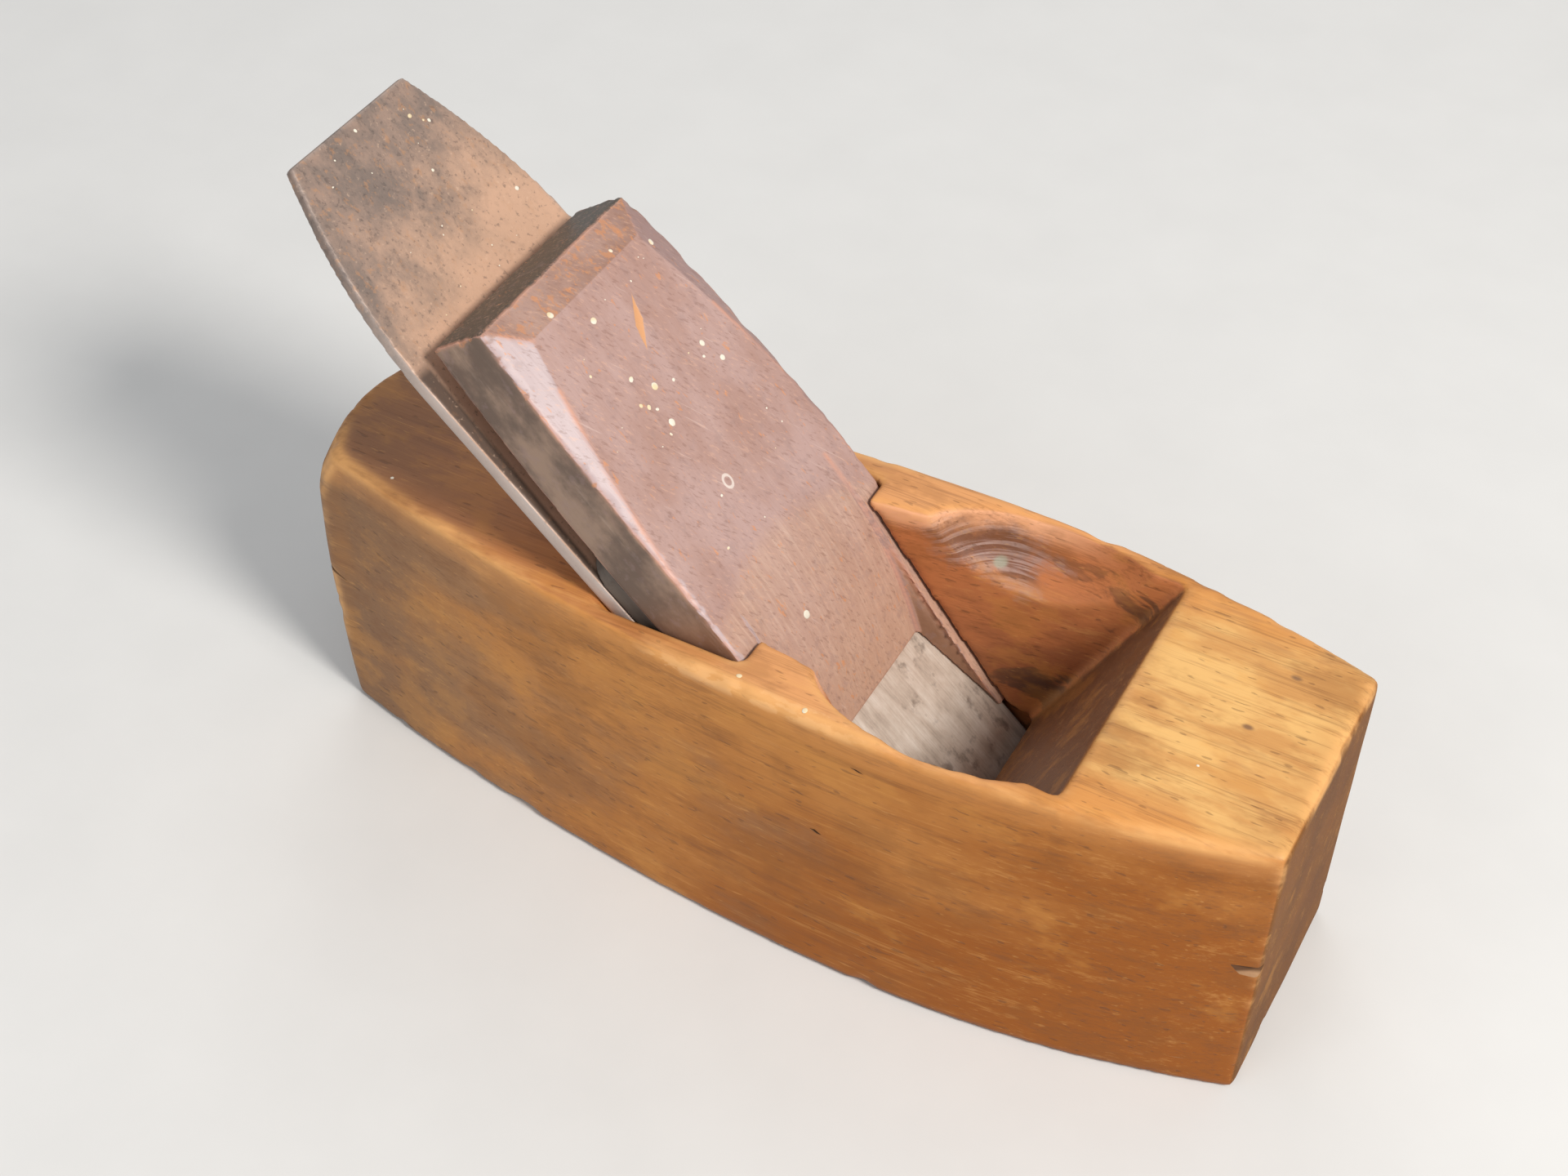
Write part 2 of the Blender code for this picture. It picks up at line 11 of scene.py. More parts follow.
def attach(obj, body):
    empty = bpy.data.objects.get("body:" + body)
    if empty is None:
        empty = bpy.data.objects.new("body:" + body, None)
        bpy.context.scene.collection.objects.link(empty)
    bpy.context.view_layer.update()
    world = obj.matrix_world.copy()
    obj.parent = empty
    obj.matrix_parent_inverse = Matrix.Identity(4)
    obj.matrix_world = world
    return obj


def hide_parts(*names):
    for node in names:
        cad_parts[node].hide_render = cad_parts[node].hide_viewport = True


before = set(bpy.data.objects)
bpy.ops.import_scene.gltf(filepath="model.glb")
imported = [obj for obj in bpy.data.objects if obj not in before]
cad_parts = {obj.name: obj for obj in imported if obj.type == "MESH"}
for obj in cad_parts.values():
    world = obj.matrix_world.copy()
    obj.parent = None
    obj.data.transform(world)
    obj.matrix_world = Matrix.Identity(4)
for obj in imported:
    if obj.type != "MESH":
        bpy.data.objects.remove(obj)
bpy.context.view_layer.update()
print("packed model loaded:", ", ".join(sorted(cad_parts)))


# The irons and the wedge lie on a slope, so they are shaped and patterned in the slope's own frame:
# X runs up the cutting iron's face from the edge, Y goes across, Z stands out of the face.
slope = {
    "angle": math.radians(42.34),
    "mouth": 0.0445,  # where the face meets the sole
}


def slopeMatrix():
    cosine, sine = math.cos(slope["angle"]), math.sin(slope["angle"])
    return Matrix((
        (-cosine, 0.0, sine, slope["mouth"]),
        (0.0, -1.0, 0.0, 0.0),
        (sine, 0.0, cosine, 0.0),
        (0.0, 0.0, 0.0, 1.0),
    ))


def placed(name, data):
    made = bpy.data.objects.new(name, data)
    bpy.context.scene.collection.objects.link(made)
    return made


def evaluatedMesh(piece):
    graph = bpy.context.evaluated_depsgraph_get()
    return bpy.data.meshes.new_from_object(piece.evaluated_get(graph))


# Wires: sockets that can be added, multiplied and so on, each step adding its node
class Wire:
    def __init__(self, sheet, socket):
        self.sheet = sheet
        self.socket = socket

    def maths(self, operation, first, second):
        return self.sheet.node("ShaderNodeMath", {"operation": operation}, {0: first, 1: second})

    def __add__(self, other):
        return self.maths("ADD", self, other)

    def __radd__(self, other):
        return self.maths("ADD", other, self)

    def __sub__(self, other):
        return self.maths("SUBTRACT", self, other)

    def __rsub__(self, other):
        return self.maths("SUBTRACT", other, self)

    def __mul__(self, other):
        return self.maths("MULTIPLY", self, other)

    def __rmul__(self, other):
        return self.maths("MULTIPLY", other, self)

    def __truediv__(self, other):
        return self.maths("DIVIDE", self, other)

    def __rtruediv__(self, other):
        return self.maths("DIVIDE", other, self)

    def larger(self, other):
        return self.maths("MAXIMUM", self, other)

    def size(self):
        return self.maths("ABSOLUTE", self, 0.0)


class Sheet:
    def __init__(self, name):
        self.material = bpy.data.materials.new(name)
        self.material.use_nodes = True
        self.tree = self.material.node_tree
        self.shader = self.tree.nodes["Principled BSDF"]
        self.place = self.node("ShaderNodeTexCoord", out="Object")

    def node(self, kind, settings=None, inputs=None, out=0):
        made = self.tree.nodes.new(kind)
        for key, value in (settings or {}).items():
            if key == "stops":
                self.setStops(made.color_ramp, value)
            else:
                setattr(made, key, value)
        for key, value in (inputs or {}).items():
            self.join(value, made.inputs[key])
        return Wire(self, made.outputs[out])

    def setStops(self, band, stops):
        while len(band.elements) < len(stops):
            band.elements.new(1.0)
        for element, (position, colour) in zip(band.elements, stops):
            element.position = position
            element.color = (*colour, 1.0)

    def join(self, value, socket):
        if isinstance(value, Wire):
            self.tree.links.new(value.socket, socket)
        elif socket.type == "RGBA":
            socket.default_value = (*value, 1.0)
        else:
            socket.default_value = value

    def feed(self, **values):
        for key, value in values.items():
            self.join(value, self.shader.inputs[key.replace("_", " ")])

    def stretched(self, place, scale):
        return self.node("ShaderNodeVectorMath", {"operation": "MULTIPLY"}, {0: place, 1: scale})

    def along(self, place, direction, offset=0.0):
        reached = self.node("ShaderNodeVectorMath", {"operation": "DOT_PRODUCT"},
                            {0: place, 1: direction}, "Value")
        return reached - offset

    def vector(self, first, second, third=0.0):
        return self.node("ShaderNodeCombineXYZ", None, {0: first, 1: second, 2: third})

    def length(self, first, second):
        return self.node("ShaderNodeVectorMath", {"operation": "LENGTH"},
                         {0: self.vector(first, second)}, "Value")

    def onSlope(self):
        matrix = slopeMatrix()
        origin = Vector((slope["mouth"], 0.0, 0.0))
        axes = [Vector(matrix.col[i][:3]) for i in range(3)]
        parts = [self.along(self.place, tuple(axis), axis.dot(origin)) for axis in axes]
        return parts, self.vector(*parts)

    def facing(self, direction):
        normal = self.node("ShaderNodeTexCoord", out="Normal")
        return self.along(normal, direction)

    def cloud(self, place, scale, detail=3.0, roughness=0.55, distortion=0.0):
        return self.node("ShaderNodeTexNoise", None, {
            "Vector": self.stretched(place, scale), "Scale": 1.0, "Detail": detail,
            "Roughness": roughness, "Distortion": distortion})

    def cells(self, place, scale):
        return self.node("ShaderNodeTexVoronoi", {"feature": "F1"}, {
            "Vector": self.stretched(place, scale), "Scale": 1.0, "Randomness": 1.0}, "Distance")

    def rise(self, value, low, high):
        return self.node("ShaderNodeMapRange", {"interpolation_type": "SMOOTHSTEP"}, {
            "Value": value, "From Min": low, "From Max": high})

    def ramp(self, value, stops):
        return self.node("ShaderNodeValToRGB", {"stops": stops}, {0: value})

    def blend(self, amount, first, second):
        return self.node("ShaderNodeMix", {"data_type": "RGBA"}, {0: amount, 6: first, 7: second}, 2)

    # the colour goes over to the tone as the value goes from low to high, by the amount at most
    def tint(self, colour, value, low, high, amount, tone):
        return self.blend(self.rise(value, low, high) * amount, colour, tone)

    def attribute(self, name):
        return self.node("ShaderNodeAttribute", {"attribute_name": name}, None, "Fac")

    def relief(self, height, distance, strength):
        return self.node("ShaderNodeBump", None, {
            "Height": height, "Distance": distance, "Strength": strength})


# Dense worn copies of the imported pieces
worn = {
    "merge": 1e-6,
    "arrisAngle": math.radians(22),  # an edge that turns more than this is an arris
    "arrisStep": 0.0004,
}


def arrisPoints(mesh):
    points = []
    for edge in mesh.edges:
        if len(edge.link_faces) == 2 and edge.calc_face_angle(0.0) > worn["arrisAngle"]:
            start, end = edge.verts[0].co, edge.verts[1].co
            count = max(int((end - start).length / worn["arrisStep"]), 1)
            points += [start.lerp(end, i / count) for i in range(count + 1)]
    return points


# each round moves a vertex up to half way to the middle of its neighbours
def relax(places, edges, weight, rounds):
    first, second = edges[:, 0], edges[:, 1]
    ends = np.concatenate((first, second))
    count = np.bincount(ends, minlength=len(places))
    for _ in range(rounds):
        for axis in range(3):
            values = places[:, axis]
            total = np.bincount(ends, np.concatenate((values[second], values[first])), len(places))
            values += weight * (total / count - values) * 0.5


def softNoise(places, scale, shift=0.0):
    return np.array([noise.noise(Vector(p) * scale + Vector((shift, 0.0, 0.0))) for p in places])


class WornCopy:
    def __init__(self, node, name, cell, onSlope=False):
        self.frame = slopeMatrix() if onSlope else Matrix.Identity(4)
        mesh = bmesh.new()
        mesh.from_mesh(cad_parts[node].data)
        bmesh.ops.remove_doubles(mesh, verts=mesh.verts, dist=worn["merge"])
        mesh.transform(self.frame.inverted())
        self.arrises = arrisPoints(mesh)
        plain = bpy.data.meshes.new(name)
        mesh.to_mesh(plain)
        mesh.free()
        self.piece = placed(name, plain)
        remesh = self.piece.modifiers.new("even cells", "REMESH")
        remesh.mode = "VOXEL"
        remesh.voxel_size = cell
        self.takeMesh()
        self.mesh.name = name
        bpy.data.meshes.remove(plain)
        self.edges = np.empty(len(self.mesh.edges) * 2, int)
        self.mesh.edges.foreach_get("vertices", self.edges)
        self.edges = self.edges.reshape(-1, 2)
        self.tree = kdtree.KDTree(len(self.arrises))
        for i, point in enumerate(self.arrises):
            self.tree.insert(point, i)
        self.tree.balance()
        self.measure()

    def takeMesh(self):
        self.mesh = evaluatedMesh(self.piece)
        self.piece.modifiers.clear()
        self.piece.data = self.mesh
        self.places = self.read()

    def measure(self):
        self.fromArris = np.array([self.tree.find(p)[2] for p in self.places])

    def read(self):
        places = np.empty(len(self.mesh.vertices) * 3)
        self.mesh.vertices.foreach_get("co", places)
        return places.reshape(-1, 3)

    def write(self):
        self.mesh.vertices.foreach_set("co", self.places.ravel())
        self.mesh.update()

    def wearArrises(self, reach, rounds, weight=1.0):
        near = np.clip(1.0 - self.fromArris / reach, 0.0, 1.0) ** 0.5
        relax(self.places, self.edges, near * weight, rounds)

    def sink(self, depths):
        self.write()
        normals = np.empty(len(self.places) * 3)
        self.mesh.vertex_normals.foreach_get("vector", normals)
        self.places -= normals.reshape(-1, 3) * depths[:, None]

    def hollow(self, centre, half, depth):
        away = (((self.places - np.array(centre)) / np.array(half)) ** 2).sum(1)
        return depth * np.clip(1.0 - away, 0.0, 1.0) ** 1.5

    def carve(self, cutters):
        self.write()
        self.mesh.attributes.new("fresh", "FLOAT", "FACE")
        for cutter in cutters:
            broken = cutter.data.attributes.new("fresh", "FLOAT", "FACE")
            broken.data.foreach_set("value", [1.0] * len(cutter.data.polygons))
            cut = self.piece.modifiers.new(cutter.name, "BOOLEAN")
            cut.operation = "DIFFERENCE"
            cut.solver = "MANIFOLD"
            cut.object = cutter
        self.takeMesh()
        for cutter in cutters:
            bpy.data.objects.remove(cutter)
        self.measure()

    def sharpenBreaks(self):
        mesh = bmesh.new()
        mesh.from_mesh(self.mesh)
        fresh = mesh.faces.layers.float["fresh"]
        for face in mesh.faces:
            if face[fresh] > 0.5:
                for edge in face.edges:
                    edge.smooth = False
        mesh.to_mesh(self.mesh)
        mesh.free()

    def finish(self, material, body, node, slot, wearWidth):
        self.write()
        self.mesh.transform(self.frame)
        packed = np.array([v.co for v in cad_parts[node].data.vertices])
        self.places = np.clip(self.read(), packed.min(0), packed.max(0))
        self.write()
        wear = self.mesh.attributes.new("arrisWear", "FLOAT", "POINT")
        wear.data.foreach_set("value", np.exp(-((self.fromArris / wearWidth) ** 2)).astype(np.float32))
        self.mesh.shade_smooth()
        if "fresh" in self.mesh.attributes:
            self.sharpenBreaks()
        self.mesh.materials.clear()
        self.mesh.materials.append(material)
        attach(self.piece, body)
        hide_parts(node)


# Stock
stock = {
    "cell": 0.00092,
    "arrisReach": 0.0022,
    "arrisRounds": 6,
    "wearShare": (0.45, 0.9),  # the least, and what a soft stretch gets on top
    "softScale": 90,  # how closely soft stretches follow each other
    "softShare": 0.30,
    "wearWidth": 0.0013,
    "wave": 0.00007,  # unevenness of the old planed faces
    "waveScale": 60,
    "waveShift": 3.0,
    "throat": (0.0335, -0.10, 0.0628, 0.002),  # half width, heel end, toe end and height of its foot
    "throatWear": 0.22,
    "easing": 0.00010,  # the grooves and the throat are worn this much wider
    "dings": 110,
    "dingSeed": 7,
    "dingSize": (0.0010, 0.0022),  # the least, and how much larger the largest is
    "dingStretch": (1.0, 2.8),
    "dingDepth": (0.06, 0.26),
    "throatRim": (0.033, -0.01, 0.063),  # half width and the two ends
    "throatDing": 0.45,  # dings on that rim are this much smaller
    # dents on the near top arris: place, half length, depth
    "bruises": [
        ((-0.0062, -0.0352, 0.0667), 0.0048, 0.00085),
        ((0.0005, -0.0354, 0.0668), 0.0026, 0.00055),
        ((0.0085, -0.0356, 0.0668), 0.0036, 0.00065),
        ((-0.0175, -0.0345, 0.0669), 0.0030, 0.00045),
        ((0.0210, -0.0361, 0.0668), 0.0040, 0.00045),
    ],
    "bruiseReach": 0.0019,
    "knots": [(0.0879, 0.0170), (0.0844, 0.0011)],
    "stain": (0.0215, 0.0595),  # x and z of the grey stain on the far cheek
    "greenSpeck": (0.0240, 0.0570),
    "tones": {
        "honey": (0.50, 0.205, 0.045), "amber": (0.295, 0.083, 0.004), "hazeAndSheen": (0.31, 0.165, 0.078),
        "straw": (0.72, 0.42, 0.145), "biscuit": (0.56, 0.275, 0.085), "orange": (0.60, 0.245, 0.060),
        "knot": (0.25, 0.13, 0.06), "toeCorner": (0.46, 0.19, 0.055), "heelTop": (0.43, 0.165, 0.060),
        "besideThroat": (0.74, 0.350, 0.140), "mark": (0.27, 0.125, 0.055), "red": (0.51, 0.178, 0.062),
        "deepRed": (0.31, 0.108, 0.044), "smudgesAndShade": (0.060, 0.036, 0.028), "underTop": (0.90, 0.47, 0.26),
        "stain": (0.36, 0.27, 0.25), "stainArc": (0.12, 0.062, 0.050), "green": (0.38, 0.43, 0.33),
        "shade": (0.165, 0.078, 0.040), "endGrain": (0.165, 0.066, 0.012), "endDark": (0.10, 0.042, 0.011),
        "pore": (0.075, 0.036, 0.016), "heel": (0.15, 0.078, 0.040), "figureDark": (0.15, 0.052, 0.014),
        "figureLight": (0.80, 0.42, 0.13), "spark": (0.70, 0.36, 0.11), "cloudDark": (0.19, 0.066, 0.012),
        "cloudLight": (0.66, 0.30, 0.06), "speck": (0.10, 0.042, 0.018), "glow": (0.68, 0.30, 0.090),
        "handled": (0.80, 0.48, 0.24), "bare": (0.76, 0.40, 0.145), "splitDark": (0.20, 0.105, 0.055),
        "splitLight": (0.50, 0.31, 0.17), "splitShade": (0.045, 0.020, 0.011),
    },
}

# Pieces knocked out of the stock: each is the hull of a few points, in millimetres
chips = {
    "toeEdge": [(92.6, -28.6, 36.9), (103.5, -28.6, 37.6), (103.5, -28.6, 31.8), (103.5, -24.3, 33.6),
                (103.5, -22.0, 37.2), (97.5, -26.2, 34.4), (97.5, -25.6, 36.8)],
    "heelSplit": [(-98.8, -21.6, 33.2), (-107.5, -22.5, 37.2), (-107.5, -22.5, 35.2),
                  (-107.5, -11.0, 36.4), (-107.5, -11.0, 35.8), (-101.5, -17.0, 34.6)],
    "farTopArris": [(65.2, 33.6, 68.0), (71.8, 32.6, 68.0), (68.9, 30.2, 67.6), (68.8, 32.8, 65.2)],
    "sideCrackLow": [(15.2, -37.8, 38.8), (20.0, -37.8, 38.0), (17.3, -37.8, 39.3), (18.2, -37.8, 37.6),
                     (17.7, -34.6, 38.5)],
    "sideCrackHigh": [(21.8, -37.8, 59.8), (28.2, -37.8, 58.6), (25.0, -37.8, 59.7), (25.8, -37.8, 58.5),
                      (25.4, -34.6, 59.1)],
    "lowScoreLong": [(83.5, -31.2, 6.6), (96.5, -27.6, 7.5), (90.0, -29.9, 7.5), (90.0, -29.9, 6.7),
                     (91.0, -27.5, 7.0)],
    "lowScoreShort": [(84.5, -31.0, 1.9), (93.5, -28.6, 2.1), (89.0, -30.0, 2.5), (89.0, -30.0, 1.4),
                      (89.0, -28.2, 1.9)],
    "toeFoot": [(99.0, -27.6, -0.8), (103.0, -21.5, -0.8), (102.6, -26.2, 3.4)],
    "toeTopNick": [(102.8, -8.5, 68.2), (102.8, -4.0, 68.2), (102.6, -6.2, 65.7), (100.2, -6.4, 67.9)],
    "toeTopNickFar": [(102.8, 5.5, 68.2), (102.8, 12.0, 68.2), (102.6, 9.0, 66.0), (100.3, 9.4, 67.9)],
}


# the toe's planed top is pale, orange round its rim, and has two pin knots
def toeTopTone(sheet, x, y, blotch):
    tones = stock["tones"]
    rim = sheet.rise(y.size() * 1.15 - x * 0.15 + blotch * 0.022, 0.022, 0.033)
    tan = sheet.rise(sheet.cloud(sheet.place, (42, 110, 110), 4.0, 0.6), 0.42, 0.62)
    pale = sheet.blend(tan, tones["straw"], tones["biscuit"])
    pale = sheet.blend(rim * 0.85, pale, tones["orange"])
    for knotX, knotY in stock["knots"]:
        away = sheet.length((x - knotX) * 0.6, y - knotY)
        pale = sheet.blend(1 - sheet.rise(away + blotch * 0.0006, 0.0005, 0.0012), pale, tones["knot"])
    return pale


# the throat has red cheeks with sooty smears, and an even brown front wall that is painted shade
def throatTone(sheet, x, y, z, blotch):
    tones = stock["tones"]
    cheek = sheet.blend(sheet.rise(blotch, 0.42, 0.66), tones["red"], tones["deepRed"])
    smear = sheet.rise(sheet.cloud(sheet.place, (34, 120, 75), 5.0, 0.62, 0.6), 0.50, 0.64)
    # painted shade darkens the lower corner by the front wall, on top of the dark smears; a worn light band
    # runs under the top
    low = sheet.rise(x * 0.9 - z * 0.55 + blotch * 0.02, 0.006, 0.036)
    cheek = sheet.tint(cheek, smear + low * 0.35, 0.35, 0.85, 0.30 + low * 0.60, tones["smudgesAndShade"])
    band = sheet.rise(z + blotch * 0.006, 0.0635, 0.0675) * (1 - sheet.rise(x, 0.030, 0.050))
    cheek = sheet.blend(band * 0.80, cheek, tones["underTop"])
    # a grey stain with dark arcs and a green speck, on the far cheek only
    farCheek = sheet.rise(y, 0.010, 0.016)
    ragged = sheet.cloud(sheet.place, (130, 130, 130), 4.0, 0.65)
    stainX, stainZ = stock["stain"]
    stainAt = sheet.length((x - stainX) * 0.56 + (z - 0.060) * 0.45, z - stainZ)
    stain = (1 - sheet.rise(stainAt + ragged * 0.014, 0.0095, 0.0150)) * farCheek
    arcAt = sheet.vector(z + (x - 0.026) * (x - 0.026) * 14.0, x * 0.04)
    arcs = sheet.rise(sheet.cloud(arcAt, (1150, 900, 1), 3.0, 0.6), 0.45, 0.57)
    cheek = sheet.blend(stain * 0.80, cheek, sheet.blend(arcs, tones["stain"], tones["stainArc"]))
    speckX, speckZ = stock["greenSpeck"]
    speckAt = sheet.length((x - speckX) * 0.8, z - speckZ)
    green = (1 - sheet.rise(speckAt + ragged * 0.0016, 0.0014, 0.0022)) * farCheek
    cheek = sheet.blend(green * 0.6, cheek, tones["green"])
    # painted shade on the faces turned towards the heel, mainly the front wall
    faceBack = sheet.rise(sheet.facing((-1, 0, 0)), 0.6, 0.85)
    return sheet.blend(faceBack, cheek, tones["shade"])


def beechFinish():
    sheet = Sheet("oldBeech")
    tones = stock["tones"]
    place = sheet.place
    x, y, z = (sheet.along(place, axis) for axis in ((1, 0, 0), (0, 1, 0), (0, 0, 1)))
    faceUp = sheet.rise(sheet.facing((0, 0, 1)), 0.55, 0.85)
    faceEnd = sheet.rise(sheet.facing((1, 0, 0)).size(), 0.6, 0.9)
    streaks = sheet.cloud(place, (14, 330, 330), 5.0, 0.6)
    fibres = sheet.cloud(place, (60, 2400, 2400), 3.0, 0.6)
    blotch = sheet.cloud(place, (22, 45, 45), 5.0, 0.62)

    # oiled sides: amber towards the toe and the sole, hazier and greyer towards the heel, partly a blotchy
    # haze and partly a painted sheen of the light
    deep = sheet.rise(x * 6.0 - z * 9.0 + blotch * 1.6, 0.05, 1.05)
    colour = sheet.blend(deep, tones["honey"], tones["amber"])
    colour = sheet.tint(colour, blotch - x * 2.4, 0.50, 0.78, 0.75, tones["hazeAndSheen"])

    # top: pale at the toe, orange beside the throat, browner at the heel
    toeTop = faceUp * sheet.rise(x, 0.050, 0.068)
    colour = sheet.blend(toeTop, colour, toeTopTone(sheet, x, y, blotch))
    corner = faceUp * sheet.rise(x + blotch * 0.02 - y * 0.25, 0.100, 0.116)
    colour = sheet.blend(corner * 0.45, colour, tones["toeCorner"])
    sideTop = faceUp * (1 - sheet.rise(x, 0.045, 0.062))
    towardsToe = sheet.rise(x + blotch * 0.01, -0.020, 0.012)
    sideTone = sheet.blend(towardsToe, tones["heelTop"], tones["besideThroat"])
    colour = sheet.blend(sideTop * 0.70, colour, sideTone)
    marks = sheet.rise(sheet.cloud(place, (70, 420, 420), 3.0, 0.5, 0.4), 0.56, 0.70)
    colour = sheet.blend(marks * (0.08 + toeTop * 0.20), colour, tones["mark"])

    inwards = sheet.rise(0.0 - y * sheet.facing((0, 1, 0)), -0.010, -0.002)  # not the outer sides
    inThroat = sheet.rise(x, -0.012, 0.004) * (1 - sheet.rise(x, 0.0605, 0.0625)) * (1 - faceUp) * inwards
    colour = sheet.blend(inThroat, colour, throatTone(sheet, x, y, z, blotch))

    endGrain = faceEnd * (1 - inThroat)
    pores = 1 - sheet.rise(sheet.cells(place, (900, 1500, 1500)), 0.12, 0.30)
    ends = sheet.blend(sheet.rise(blotch, 0.36, 0.66), tones["endGrain"], tones["endDark"])
    colour = sheet.blend(endGrain * 0.85, colour, sheet.blend(pores * 0.45, ends, tones["pore"]))
    # painted shade: the whole stock darkens towards the heel
    colour = sheet.tint(colour, 0.0 - x + blotch * 0.02, 0.060, 0.112, 0.55, tones["heel"])

    # fine figure over everything
    figure = streaks * 0.55 + fibres * 0.45
    sparks = sheet.cloud(place, (210, 1500, 1500), 2.0)
    cloudy = sheet.cloud(place, (34, 62, 62), 5.0, 0.65)
    colour = sheet.tint(colour, figure, 0.50, 0.36, 0.38, tones["figureDark"])
    colour = sheet.tint(colour, figure, 0.53, 0.68, 0.24, tones["figureLight"])
    colour = sheet.tint(colour, sparks, 0.66, 0.74, 0.28, tones["spark"])
    colour = sheet.tint(colour, cloudy, 0.50, 0.62, 0.30, tones["cloudDark"])
    colour = sheet.tint(colour, cloudy, 0.46, 0.36, 0.22, tones["cloudLight"])
    specks = sheet.rise(sheet.cloud(place, (260, 1100, 1100), 1.0), 0.33, 0.27)
    colour = sheet.blend(specks * 0.40, colour, tones["speck"])

    # rubbed arrises, most of all where the near hand holds
    wear = sheet.attribute("arrisWear")
    handled = (1 - sheet.rise((x - 0.003).size(), 0.010, 0.034)) * sheet.rise(0.0 - y, 0.028, 0.032)
    glow = sheet.rise(z + blotch * 0.010 + streaks * 0.006, 0.0660, 0.0745)
    glow = glow * (1 - faceUp) * (1 - inThroat) * (1 - endGrain)
    colour = sheet.blend(glow * 0.45, colour, tones["glow"])
    patch = handled * sheet.rise(z + y * 0.9, 0.0318, 0.0340) * sheet.rise(0.0 - y, 0.0325, 0.0340)
    colour = sheet.tint(colour, sheet.cloud(place, (190, 420, 420), 4.0, 0.6), 0.46, 0.54,
                        patch * 0.55, tones["handled"])
    rubbed = wear * sheet.rise(blotch + streaks * 0.30 + handled * 0.22, 0.56, 0.78)
    rubbed = rubbed * sheet.rise(z, 0.004, 0.030) * (1 - inThroat * 0.75)
    colour = sheet.blend(rubbed * 0.85, colour, tones["bare"])

    # inside the chips; painted shade darkens every broken face above 35.8 mm, such as the toe chip's inner
    # wall under its overhang
    raw = sheet.attribute("fresh")
    split = sheet.blend(streaks, tones["splitDark"], tones["splitLight"])
    split = sheet.tint(split, z, 0.0350, 0.0358, 0.9, tones["splitShade"])
    colour = sheet.blend(raw * 0.85, colour, split)
    sheet.feed(Base_Color=colour, Roughness=0.40 + figure * 0.22 + raw * 0.25 + endGrain * 0.25,
               Specular_IOR_Level=0.28)
    relief = figure * 0.6 + marks * -0.12 + blotch * 0.5 - specks * 0.3
    sheet.feed(Normal=sheet.relief(relief, 0.00016, 0.6))
    return sheet.material


def hull(points, name):
    mesh = bmesh.new()
    for point in points:
        mesh.verts.new(Vector(point) * 0.001)
    bmesh.ops.convex_hull(mesh, input=mesh.verts)
    bmesh.ops.recalc_face_normals(mesh, faces=mesh.faces)
    plain = bpy.data.meshes.new(name)
    mesh.to_mesh(plain)
    mesh.free()
    return placed(name, plain)


def makeStock():
    piece = WornCopy("stock", "stockWorn", stock["cell"])
    least, more = stock["wearShare"]
    soft = softNoise(piece.places, stock["softScale"]) + stock["softShare"]
    loose = least + more * np.clip(soft, 0.0, 1.0)
    x, y, z = piece.places.T
    half, heelEnd, toeEnd, foot = stock["throat"]
    inner = (np.abs(y) < half) & (x > heelEnd) & (x < toeEnd) & (z > foot)
    loose = np.where(inner, stock["throatWear"], np.clip(loose, 0.0, 1.0))
    piece.wearArrises(stock["arrisReach"], stock["arrisRounds"], loose)
    waves = 0.5 + softNoise(piece.places, stock["waveScale"], stock["waveShift"])
    piece.sink(stock["wave"] * waves + inner * stock["easing"])
    pick = random.Random(stock["dingSeed"])
    depths = np.zeros(len(piece.places))
    small, spread = stock["dingSize"]
    rimHalf, rimHeel, rimToe = stock["throatRim"]
    for _ in range(stock["dings"]):
        centre = pick.choice(piece.arrises)
        size = small + spread * pick.random() ** 3
        if abs(centre.y) < rimHalf and rimHeel < centre.x < rimToe:
            size *= stock["throatDing"]
        half = (size * pick.uniform(*stock["dingStretch"]), size, size)
        depths = np.maximum(depths, piece.hollow(centre, half, size * pick.uniform(*stock["dingDepth"])))
    for centre, reach, depth in stock["bruises"]:
        half = (reach, stock["bruiseReach"], stock["bruiseReach"])
        depths = np.maximum(depths, piece.hollow(centre, half, depth))
    piece.sink(depths)
    piece.carve([hull(points, name) for name, points in chips.items()])
    piece.finish(beechFinish(), "stock_body", "stock", "beech", stock["wearWidth"])


makeStock()
print("stock shaped")


